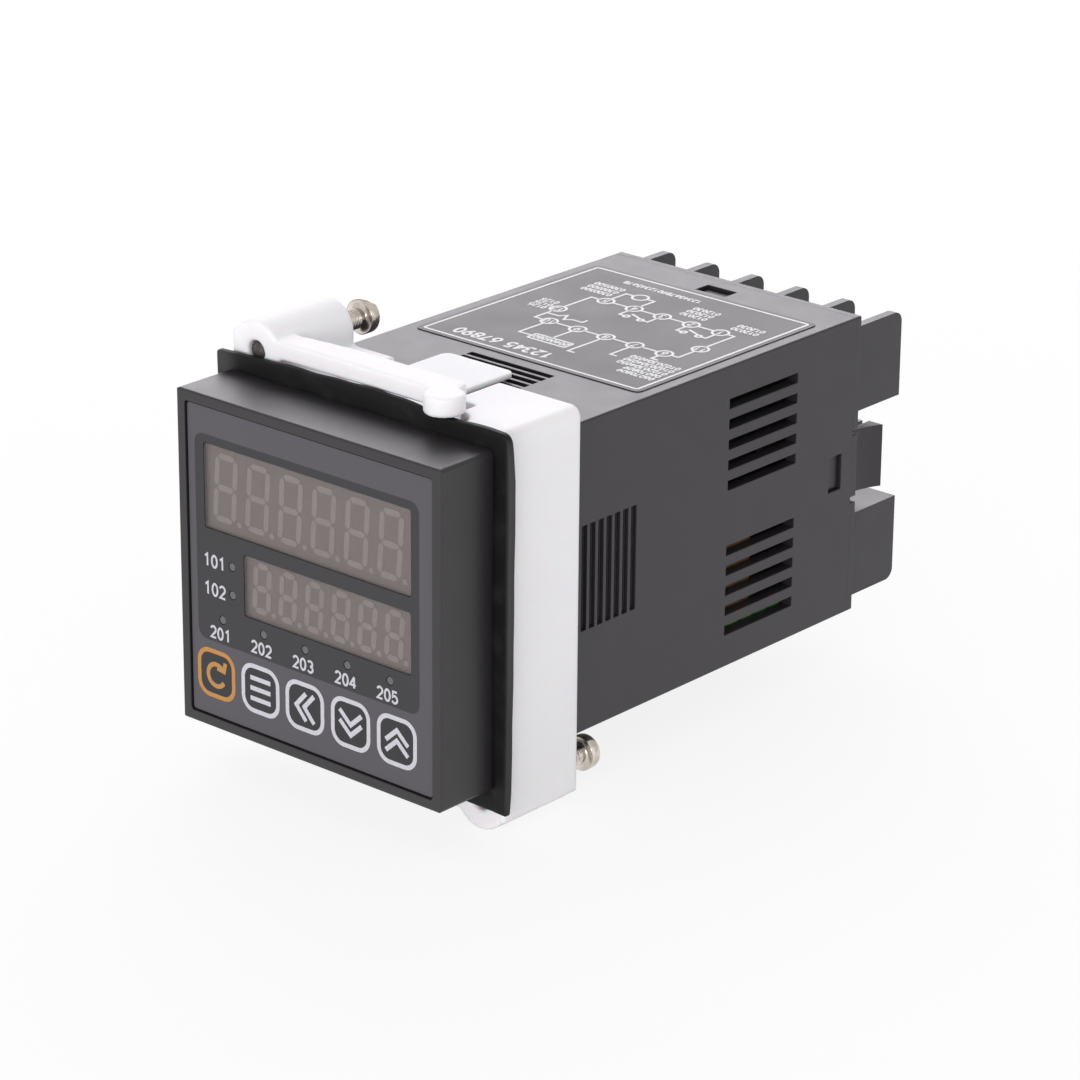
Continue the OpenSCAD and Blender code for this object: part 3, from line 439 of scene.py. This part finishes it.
def roundedLoop(half, corner, each=8):  # a rounded rectangle about the origin, counterclockwise
    inX, inZ = half[0] - corner, half[1] - corner
    quarters = [arc((sx * inX, sz * inZ), (corner, corner), start, start + 90, each)
                for sx, sz, start in ((1, 1, 0), (-1, 1, 90), (-1, -1, 180), (1, -1, 270))]
    return np.concatenate(quarters)


def line(*points):  # an open stroke through the points
    return np.array(points), False


def loop(middle, radii, count, end=345):  # a closed ellipse; a last straight stroke closes it
    return arc(middle, radii, 0, end, count), True


# Numerals on a cell 0.6 wide and 1 high, each a list of strokes
numerals = {
    "0": [loop((0.3, 0.5), (0.28, 0.5), 24)],
    "1": [line((0.10, 0.78), (0.36, 1.0), (0.36, 0.0))],
    "2": [line(*arc((0.3, 0.71), (0.28, 0.29), 165, -35, 12), (0.03, 0.0), (0.60, 0.0))],
    "3": [line(*arc((0.28, 0.755), (0.26, 0.245), 150, -90, 12)),
          line(*arc((0.28, 0.27), (0.30, 0.27), 90, -150, 12))],
    "4": [line((0.46, 0.0), (0.46, 1.0)), line((0.46, 1.0), (0.02, 0.28), (0.64, 0.28))],
    "5": [line((0.54, 1.0), (0.10, 1.0), (0.06, 0.52), *arc((0.27, 0.32), (0.31, 0.32), 110, -150, 12))],
    "6": [loop((0.3, 0.3), (0.28, 0.3), 20), line((0.46, 1.0), (0.16, 0.68), (0.02, 0.32))],
    "7": [line((0.02, 1.0), (0.58, 1.0), (0.22, 0.0))],
    "8": [loop((0.3, 0.75), (0.24, 0.25), 18), loop((0.3, 0.25), (0.29, 0.25), 18)],
    "9": [loop((0.3, 0.7), (0.28, 0.3), 20), line((0.14, 0.0), (0.44, 0.32), (0.58, 0.68))],
}


def number(text, corner, height, spacing=0.84):  # strokes of a number whose lower left corner is given
    strokes = []
    for index, figure in enumerate(text):
        for points, closed in numerals[figure]:
            shift = np.array(corner) + np.array([index * spacing * height, 0])
            strokes.append((points * height + shift, closed))
    return strokes


# Ink in mm: how far it goes into what carries it and stands proud, and the rise of strokes that cross
inkShape = {"in": 0.01, "out": 0.02, "step": 0.004, "layers": 4, "mitre": 0.5, "tiny": 1e-9}


def strokeSurface(strokes, width):
    # A flat rectangular profile carried along each path; the sides meet at the mitre of each corner
    allPoints, allFaces, used = [], [], 0
    low = -inkShape["in"]
    for index, (path, closed) in enumerate(strokes):
        path = np.asarray(path, float)
        top = inkShape["out"] + inkShape["step"] * (index % inkShape["layers"])
        ahead = np.roll(path, -1, 0) - path
        if not closed:
            ahead[-1] = ahead[-2]
        ahead /= np.linalg.norm(ahead, axis=1)[:, None]
        behind = np.roll(ahead, 1, 0)
        if not closed:
            behind[0] = ahead[0]
        side = np.stack([-(ahead + behind)[:, 1], (ahead + behind)[:, 0]], 1)
        side /= np.maximum(np.linalg.norm(side, axis=1)[:, None], inkShape["tiny"])
        normal = np.stack([-ahead[:, 1], ahead[:, 0]], 1)
        reach = 1 / np.maximum((side * normal).sum(1), inkShape["mitre"])
        offset = side * (reach * width / 2)[:, None]
        ring = [np.column_stack([path + sign * offset, np.full(len(path), level)])
                for sign, level in ((1, low), (1, top), (-1, top), (-1, low))]
        allPoints.append(np.stack(ring, 1).reshape(-1, 3))
        faces = gridFaces(len(path), 4, closed, True)
        if not closed:
            faces = np.concatenate([faces, capFaces(0, 4)[:, ::-1], capFaces(4 * len(path) - 4, 4)])
        allFaces.append(faces + used)
        used += 4 * len(path)
    return np.concatenate(allPoints), np.concatenate(allFaces)


def addPrint(name, groups, place, material):  # groups of strokes with one width each, in one mesh
    points, faces, used = [], [], 0
    for strokes, width in groups:
        made, quads = strokeSurface(strokes, width)
        points.append(made)
        faces.append(quads + used)
        used += len(made)
    return addPiece(name, place(np.concatenate(points)), np.concatenate(faces), material, "counter",
                    False)


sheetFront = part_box("front_sheet")[0].y / mm


def onFront(points):  # x across and z up on the front; height counts towards the viewer
    return np.column_stack([points[:, 0], sheetFront - points[:, 2], points[:, 1]])


# The front's print, in mm; the keys' height and corners are those of the overlay
frontPrint = {
    "keyMiddles": (-17.7, -9.3, -0.95, 7.5, 15.9), "keyHalf": 3.27,
    "keyLine": 0.65, "signLine": 0.66, "figureLine": 0.32, "columnSize": 1.7, "rowSize": 1.6,
    "columnFigures": {"101": (-19.6, -0.45), "102": (-19.6, -4.55)},
    "rowFigures": {"201": (-18.6, -10.7), "202": (-10.8, -10.7), "203": (-3.0, -10.7),
                   "204": (4.8, -10.7), "205": (12.4, -10.7)},
}
signShape = {
    "turn": ((0, -0.15), (1.6, 1.6), 40, 330, 28), "head": ((1.75, 2.05), (1.45, 0.75), (0.15, 0.95)),
    "barHalf": 1.9, "barLevels": (1.5, 0.0, -1.5),
    "chevron": ((-2.0, 0.0), (0.0, -1.8), (2.0, 0.0)), "chevronRises": (1.7, 0.2),
}


def keySign(kind, middle):  # the strokes of the sign on each key
    if kind == "turn":
        strokes = [line(*arc(*signShape["turn"])), line(*signShape["head"])]
    elif kind == "bars":
        half = signShape["barHalf"]
        strokes = [line((-half, level), (half, level)) for level in signShape["barLevels"]]
    else:
        chevron = np.array(signShape["chevron"])
        strokes = [(chevron + np.array([0, rise]), False) for rise in signShape["chevronRises"]]
        if kind == "up":
            strokes = [(points * np.array([1, -1]), False) for points, closed in strokes]
        if kind == "left":
            strokes = [(points[:, ::-1], False) for points, closed in strokes]
    return [(points + np.array(middle), closed) for points, closed in strokes]


keyMiddles = [(x, overlayLook["keyHeight"]) for x in frontPrint["keyMiddles"]]
keyLoop = roundedLoop((frontPrint["keyHalf"], frontPrint["keyHalf"]), overlayLook["keyRound"])
whiteKeys = [(keyLoop + np.array(middle), True) for middle in keyMiddles[1:]]
orangeKey = [(keyLoop + np.array(keyMiddles[0]), True)]
whiteSigns = [stroke for kind, middle in zip(("bars", "left", "down", "up"), keyMiddles[1:])
              for stroke in keySign(kind, middle)]
figures = [stroke for text, corner in frontPrint["columnFigures"].items()
           for stroke in number(text, corner, frontPrint["columnSize"])]
figures += [stroke for text, corner in frontPrint["rowFigures"].items()
            for stroke in number(text, corner, frontPrint["rowSize"])]
addPrint("frontPrintWhite", [(whiteKeys, frontPrint["keyLine"]), (whiteSigns, frontPrint["signLine"]),
                             (figures, frontPrint["figureLine"])],
         onFront, looks["whiteInk"])
addPrint("frontPrintOrange", [(orangeKey, frontPrint["keyLine"]),
                              (keySign("turn", keyMiddles[0]), frontPrint["signLine"])],
         onFront, looks["orangeInk"])
print("front print made")

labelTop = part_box("top_label")[1].z / mm
labelLow, labelHigh = (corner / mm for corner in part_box("top_label"))
labelMiddle = (labelLow.y + labelHigh.y) / 2


def onLabel(points):  # read from the rear: x runs to the left and y towards the front
    return np.column_stack([-points[:, 0], labelMiddle - points[:, 1], labelTop + points[:, 2]])


# The label's print, in mm
labelPrint = {
    "border": 0.95, "borderRound": 0.4, "borderLine": 0.40, "wireLine": 0.38, "figureLine": 0.25,
    "titleLine": 0.46, "circle": 1.2, "contact": 0.45, "figure": 1.2, "small": 0.95, "title": 2.0,
    "figureLeft": 0.36, "figureMore": 0.5,  # way to a circle's first figure, and more where it has two
    "rows": (-7.5, 4.8), "columns": (-12.7, -7.4, -2.1, 3.1, 8.4), "sides": ((-15.2, 0.0), (11.1, -0.2)),
    "lamp": (5.75, -12.0), "boxMiddle": (2.6, 11.2), "boxHalf": (3.4, 1.0), "boxRound": 0.15,
    "leads": (7.6, 10.1, 12.9), "leadFoot": 1.2,
    "contactRow": -4.2, "contactInset": 1.3, "contactLift": 0.4, "contactSwing": 1.3,
    "sideWire": ((0.0, 1.2), (0.0, 2.4), (-2.2, 2.4), (-3.0, 1.4), (-3.8, 3.2), (-4.8, 2.4), (-6.6, 2.4),
                 (-6.6, 1.2)),
    "lines": {"0125": ((12.8, -2.6), (12.8, -1.2), (12.8, 0.2)),
              "0300500": ((9.6, -10.4), (9.6, -11.9), (9.6, -13.4)),
              "012030": ((-7.6, -11.0), (-7.6, -12.5), (-7.6, -14.0), (-17.2, -10.6), (-17.2, -12.1)),
              "01020304050": ((-18.6, 8.2), (-18.6, 9.6), (-18.6, 11.0)),
              "06070809": ((-18.6, 12.4), (-18.6, 13.8)),
              "20406080": ((-0.6, 10.7),), "123456789012345678": ((-2.0, -16.6),)},
    "titles": {"12345": (-1.9, 15.3), "67890": (7.6, 15.3)},
}


def labelStrokes(look):  # border, terminal circles, wires between them and lines of figures
    halfX, halfY = (labelHigh.x - labelLow.x) / 2, (labelHigh.y - labelLow.y) / 2
    inside = (halfX - look["border"], halfY - look["border"])
    border = [(roundedLoop(inside, look["borderRound"], 4), True)]
    ring, contact = look["circle"], look["contact"]
    rear, front = ([(x, level) for x in look["columns"]] for level in look["rows"])
    places = rear + front + list(look["sides"])
    shapes = [loop(place, (ring, ring), 24) for place in places + [look["lamp"]]]
    shapes.append((roundedLoop(look["boxHalf"], look["boxRound"], 2) + np.array(look["boxMiddle"]), True))

    def wire(*corners):
        shapes.append(line(*corners))

    for row in (rear, front):
        for (x, z), (nextX, nextZ) in zip(row[:-1], row[1:]):
            wire((x + ring, z), (nextX - ring, nextZ))
    for (x, z), end, side in zip(look["sides"], (0, -1), (-1, 1)):  # each side circle joins both rows
        wire((x, z - ring), (x, rear[end][1]), (rear[end][0] + side * ring, rear[end][1]))
        wire((x, z + ring), (x, front[end][1]), (front[end][0] + side * ring, front[end][1]))
    (lampX, lampZ), (boxX, boxZ), (boxHalf, boxRise) = look["lamp"], look["boxMiddle"], look["boxHalf"]
    wire((rear[4][0], rear[4][1] - ring), (rear[4][0], lampZ), (lampX + ring, lampZ))
    wire((rear[3][0], rear[3][1] - ring), (rear[3][0], lampZ), (lampX - ring, lampZ))
    wire((front[4][0], front[4][1] + ring), (front[4][0], boxZ), (boxX + boxHalf, boxZ))
    wire((front[3][0], front[3][1] + ring), (front[3][0], boxZ - boxRise))
    for (x, z), level in zip(front, look["leads"]):  # leads to the lines of figures
        wire((x, z + ring), (x, level), (x - look["leadFoot"], level))
    row = look["contactRow"]
    for first in (0, 2):  # open contacts between the rear circles
        (x, z), (nextX, nextZ) = rear[first], rear[first + 1]
        start, stop = x + look["contactInset"], nextX - look["contactInset"]
        wire((x, z + ring), (x, row), (start - contact, row))
        wire((nextX, nextZ + ring), (nextX, row), (stop + contact, row))
        wire((start + contact, row - look["contactLift"]), (stop, row - look["contactSwing"]))
        shapes.extend(loop((place, row), (contact, contact), 12, 330) for place in (start, stop))
    wire(*(np.array(look["sideWire"]) + np.array(look["sides"][1])))
    figures = []
    for index, (x, z) in enumerate(places):
        text = str(index + 1)
        left = x - look["figureLeft"] - look["figureMore"] * (len(text) - 1)
        figures += number(text, (left, z - look["figure"] / 2), look["figure"])
    for text, corners in look["lines"].items():
        for corner in corners:
            figures += number(text, corner, look["small"])
    titles = [stroke for text, corner in look["titles"].items()
              for stroke in number(text, corner, look["title"])]
    return border, shapes, figures, titles


border, wires, labelFigures, titles = labelStrokes(labelPrint)
addPrint("labelPrint", [(border, labelPrint["borderLine"]), (wires, labelPrint["wireLine"]),
                        (labelFigures, labelPrint["figureLine"]), (titles, labelPrint["titleLine"])],
         onLabel, looks["labelInk"])
print("label print made")

# Gasket: a rubber strip carried round the case; its free edge waves, sags and ends in a torn tip, in mm
gasketShape = {
    "inner": 22.65, "innerRounds": (0.9, 0.9, 0.9, 0.9),
    "outer": 26.3, "outerRounds": (1.2, 0.4, 1.2, 0.2),
    "along": 90, "turn": 14, "edge": 0.3, "edgeSteps": 5, "flats": (-1.2, -2.4),
    "sideStart": 24.0, "sideSpan": 2.0,  # a line below works on the points further out than this
    "topLine": ((-26, 0.0), (-24.5, 0.12), (-22.5, 0.2), (-19, 0.12), (-14, 0.42), (-8, 0.52), (-3, 0.62),
                (3, 0.70), (7, 0.68), (10.7, 0.46), (11.4, 0.1), (17.4, 0.1), (20, 0.3), (24, 0.3)),
    "bottomLine": ((0, 0.0), (13, 0.7)),
    "rightLine": ((-15, 0.4), (0, 0.75), (20, 0.75), (24, 0.45), (26, 0.15)),
    "tip": (-0.25, -0.1), "tipSpread": 1.5, "curl": (0.1, 0.0), "curlSpread": 4.0, "curlLean": -0.3,
    "ripple": 0.05, "rippleRight": 0.4, "waves": (0.9, 0.37, 0.6), "waveShift": 1,
    "lean": 0.08, "leanWave": 0.2, "riseLean": 0.3, "freeWidth": 2.3,
}


def squarePath(half, rounds, along, turn):  # a rounded square, each corner with its own radius
    corners = []
    for index, (sx, sz) in enumerate(((1, 1), (-1, 1), (-1, -1), (1, -1))):
        inset, radius = half - rounds[index], rounds[index]
        corners.append(arc((sx * inset, sz * inset), (radius, radius), 90 * index, 90 * index + 90, turn))
    share = (np.arange(1, along + 1) / (along + 1))[:, None]
    sides = [a[-1] + share * (b[0] - a[-1]) for a, b in zip(corners, corners[1:] + corners[:1])]
    return np.concatenate([part for pair in zip(corners, sides) for part in pair])


def gasketSurface(shape):
    # A rounded bar carried along the outer square; its inner edge lies on the inner square
    low, high = (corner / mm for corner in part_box("gasket"))
    half = shape["outer"]
    inner = squarePath(shape["inner"], shape["innerRounds"], shape["along"], shape["turn"])
    outer = squarePath(half, shape["outerRounds"], shape["along"], shape["turn"])
    x, z = outer[:, 0].copy(), outer[:, 1].copy()
    onTop, onBottom, onRight = (np.clip((way - shape["sideStart"]) / shape["sideSpan"], 0, 1)
                                for way in (z, -z, x))
    nearTip = np.exp(-((x - half) ** 2 + (z + half) ** 2) / shape["tipSpread"] ** 2)
    nearCurl = np.exp(-((x + half) ** 2 + (z - half) ** 2) / shape["curlSpread"] ** 2)
    quick, slow, tall = shape["waves"]
    ripple = np.sin(quick * x) + np.sin(slow * x + shape["waveShift"]) + np.sin(tall * z)
    ripple = shape["ripple"] * ripple
    rise = onTop * np.interp(x, *zip(*shape["topLine"]))
    outer[:, 1] += rise + onTop * ripple - onBottom * np.interp(x, *zip(*shape["bottomLine"]))
    outer[:, 0] += onRight * (np.interp(z, *zip(*shape["rightLine"])) + shape["rippleRight"] * ripple)
    outer += nearTip[:, None] * np.array(shape["tip"]) + nearCurl[:, None] * np.array(shape["curl"])
    thick, edge = high.y - low.y, shape["edge"]
    span = outer - inner
    length = np.linalg.norm(span, axis=1)[:, None]
    quarter = np.radians(np.linspace(0, 90, shape["edgeSteps"]))
    rim = np.stack([edge * np.cos(quarter) - edge, thick / 2 - edge + edge * np.sin(quarter)], 1)
    flat = np.array([(back, thick / 2) for back in shape["flats"]])
    rear = np.concatenate([rim, flat, [(-half, thick / 2)]])  # the last point moves to the inner square
    profile = np.concatenate([rear, rear[::-1] * np.array([1, -1])])
    back = np.maximum(profile[None, :, 0], -length)  # mm back from the outer edge
    ring = outer[:, None, :] + (span / length)[:, None, :] * back[:, :, None]
    free = np.clip(1 + back / shape["freeWidth"], 0, 1) ** 2
    lean = shape["lean"] * np.sin(shape["leanWave"] * (x - z)) + shape["curlLean"] * nearCurl
    lean = lean + shape["riseLean"] * rise
    depth = (low.y + high.y) / 2 + profile[None, :, 1] + free * lean[:, None]
    points = np.stack([ring[:, :, 0], depth, ring[:, :, 1]], 2)
    return points.reshape(-1, 3), gridFaces(len(outer), len(profile), True, True)


points, faces = gasketSurface(gasketShape)
gasketPiece = addPiece("gasketRing", points, faces, looks["gasketRubber"], "counter")
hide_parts("gasket")
print("gasket made")

# Clamping screws, in mm: one profile from tip to head turned about the axis, with a helical ridge
screwShape = {
    "root": 1.27, "crest": 1.49, "pitch": 0.5, "perTurn": 12, "around": 64, "pole": 0.02, "lead": 0.7,
    "neck": 0.5, "ridgeSlope": 1.6, "ridgeCut": 0.25, "headHeight": 2.0, "headRound": 0.8, "headSteps": 9,
    "headStep": 0.15, "headRings": 34, "crossWidth": 0.75, "crossLength": 3.3, "crossDepth": 0.95,
    "crossSlope": 0.12, "crossEnd": 0.3, "topBand": 0.05,
}


def screwSurface(node, shape):
    # Radius by the angle and the way along: root, ridge and head, with a cross sunk in its top
    low, high = (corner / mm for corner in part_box(node))
    middle, headRadius = (low + high) / 2, (high.x - low.x) / 2
    seat, corner = high.y - shape["headHeight"], shape["headRound"]
    turn = -np.arange(shape["around"]) / shape["around"]
    run = np.linspace(low.y, seat, int((seat - low.y) / shape["pitch"] * shape["perTurn"]))
    phase = (run[:, None] / shape["pitch"] - turn[None, :]) % 1.0
    ridge = np.clip(shape["ridgeSlope"] * (1 - np.abs(2 * phase - 1)) - shape["ridgeCut"], 0, 1)
    fade = np.clip((run - low.y) / shape["lead"], 0, 1) * np.clip((seat - run) / shape["neck"] - 1, 0, 1)
    shank = shape["root"] + (shape["crest"] - shape["root"]) * ridge * fade[:, None]
    over = np.radians(np.linspace(0, 90, shape["headSteps"]))
    flat = np.linspace(headRadius - corner, shape["pole"], shape["headRings"])[1:]
    headRun = np.concatenate([[seat, seat, high.y - corner - shape["headStep"]],
                              high.y - corner + corner * np.sin(over), np.full(len(flat), high.y)])
    headOut = np.concatenate([[headRadius - shape["headStep"], headRadius, headRadius],
                              headRadius - corner + corner * np.cos(over), flat])
    tip = np.full((1, len(turn)), shape["pole"])
    radius = np.concatenate([tip, shank, np.tile(headOut[:, None], (1, len(turn)))])
    along = np.concatenate([[low.y], run, headRun])[:, None] * np.ones(len(turn))
    x, z = radius * np.cos(2 * np.pi * turn), radius * np.sin(2 * np.pi * turn)
    narrow, wide = np.minimum(np.abs(x), np.abs(z)), np.maximum(np.abs(x), np.abs(z))
    sunk = np.clip((shape["crossWidth"] / 2 - narrow) / shape["crossSlope"], 0, 1)
    sunk = sunk * np.clip((shape["crossLength"] / 2 - wide) / shape["crossEnd"], 0, 1)
    along = along - np.where(along > high.y - shape["topBand"], shape["crossDepth"] * sunk, 0)
    points = np.stack([middle.x + x, along, middle.z + z], 2).reshape(-1, 3)
    rows, columns = radius.shape
    faces = [gridFaces(rows, columns, False, True), capFaces(0, columns)[:, ::-1],
             capFaces((rows - 1) * columns, columns)]
    return points, np.concatenate(faces)


for node, body in (("upper_screw", "upper_clamp_screw"), ("lower_screw", "lower_clamp_screw")):
    points, faces = screwSurface(node, screwShape)
    screw = addPiece(node + "Threaded", points, faces, looks["clampMetal"], body)
    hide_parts(node)
print("clamping screws made")

# Camera, fitted to the photograph's edges, in degrees and mm
cameraView = {"azimuth": 41.184, "elevation": 21.220, "roll": 0.454, "distance": 589.061,
              "target": (9.352, 24.9, 0.390), "lens": 143.634, "sensor": 36.0}


def addCamera(view):  # looks at the target from an azimuth and elevation, turned by the roll
    azimuth, elevation, roll = (math.radians(view[k]) for k in ("azimuth", "elevation", "roll"))
    back = Vector((math.sin(azimuth) * math.cos(elevation), -math.cos(azimuth) * math.cos(elevation),
                   math.sin(elevation)))
    right = Vector((math.cos(azimuth), math.sin(azimuth), 0))
    up = back.cross(right)
    across = right * math.cos(roll) + up * math.sin(roll)
    upward = up * math.cos(roll) - right * math.sin(roll)
    eye = (Vector(view["target"]) + back * view["distance"]) * mm
    lens = bpy.data.cameras.new("photoCamera")
    lens.lens, lens.sensor_width = view["lens"], view["sensor"]
    lens.clip_start, lens.clip_end = 0.01, 20
    holder = bpy.data.objects.new("photoCamera", lens)
    holder.matrix_world = Matrix([[*row] for row in zip(across, upward, back, eye)] + [[0, 0, 0, 1]])
    bpy.context.scene.collection.objects.link(holder)
    bpy.context.scene.camera = holder


addCamera(cameraView)
bpy.context.scene.view_settings.view_transform = "Standard"
print("camera made")

# Studio, in metres: white surround, soft lights behind on the left, in front and on the right, pale floor
studio = {
    "surround": 0.69, "aim": (0, 0.04, 0),
    "lights": {
        "rearLeft": {"place": (-0.72, 0.90, 0.61), "size": (1.2, 0.85), "radiance": 3.2,
                     "colour": (1, 0.965, 1.02)},
        "right": {"place": (1.05, -0.25, 0.25), "size": (1.0, 0.8), "radiance": 0.38,
                  "colour": (1, 1, 1)},
        "front": {"place": (0.35, -1.25, 0.22), "size": (1.2, 0.4), "radiance": 6.4,
                  "colour": (1, 0.98, 1.0)},
    },
    "floor": {"size": 4.0, "gap": 0.00005, "colour": (0.9, 0.9, 0.9, 1), "rough": 0.9, "white": 0.85},
}


def addSoftLight(name, light, aim):  # a rectangle aimed at the part; its power follows from its radiance
    lamp = bpy.data.lights.new(name, "AREA")
    lamp.shape = "RECTANGLE"
    lamp.size, lamp.size_y = light["size"]
    lamp.color = light["colour"]
    lamp.energy = math.pi * light["size"][0] * light["size"][1] * light["radiance"]
    holder = bpy.data.objects.new(name, lamp)
    holder.location = light["place"]
    holder.rotation_euler = (Vector(aim) - Vector(light["place"])).to_track_quat("-Z", "Y").to_euler()
    bpy.context.scene.collection.objects.link(holder)


def addFloor(look):  # near white to the camera and in reflections, with the part's shadow kept
    half, level = look["size"] / 2, cadBounds[0][2] - look["gap"]
    corners = [(-half, -half, level), (half, -half, level), (half, half, level), (-half, half, level)]
    mesh = bpy.data.meshes.new("studioFloor")
    mesh.from_pydata(corners, [], [(0, 1, 2, 3)])
    made = bpy.data.materials.new("studioFloor")
    made.use_nodes = True
    tree = made.node_tree
    shader = tree.nodes["Principled BSDF"]
    shader.inputs["Roughness"].default_value = look["rough"]
    shader.inputs["Base Color"].default_value = look["colour"]
    rays = tree.nodes.new("ShaderNodeLightPath")
    seen = Value(tree, rays.outputs["Is Camera Ray"]) + Value(tree, rays.outputs["Is Glossy Ray"])
    seen = seen + Value(tree, rays.outputs["Is Transmission Ray"])
    share = seen.math("MINIMUM", seen, 1.0) * look["white"]
    white = seen.node("ShaderNodeEmission", {}, {"Color": (1, 1, 1, 1), "Strength": 1.0})
    mixed = seen.node("ShaderNodeMixShader", {}, {0: share, 1: Value(tree, shader.outputs[0]), 2: white})
    tree.links.new(mixed.socket, tree.nodes["Material Output"].inputs["Surface"])
    mesh.materials.append(made)
    floor = bpy.data.objects.new("studioFloor", mesh)
    bpy.context.scene.collection.objects.link(floor)


addFloor(studio["floor"])
for name, light in studio["lights"].items():
    addSoftLight(name, light, studio["aim"])
world = bpy.data.worlds.new("studio")
world.use_nodes = True
background = world.node_tree.nodes["Background"]
background.inputs["Strength"].default_value = studio["surround"]
background.inputs["Color"].default_value = (1, 1, 1, 1)
bpy.context.scene.world = world
print("studio made")
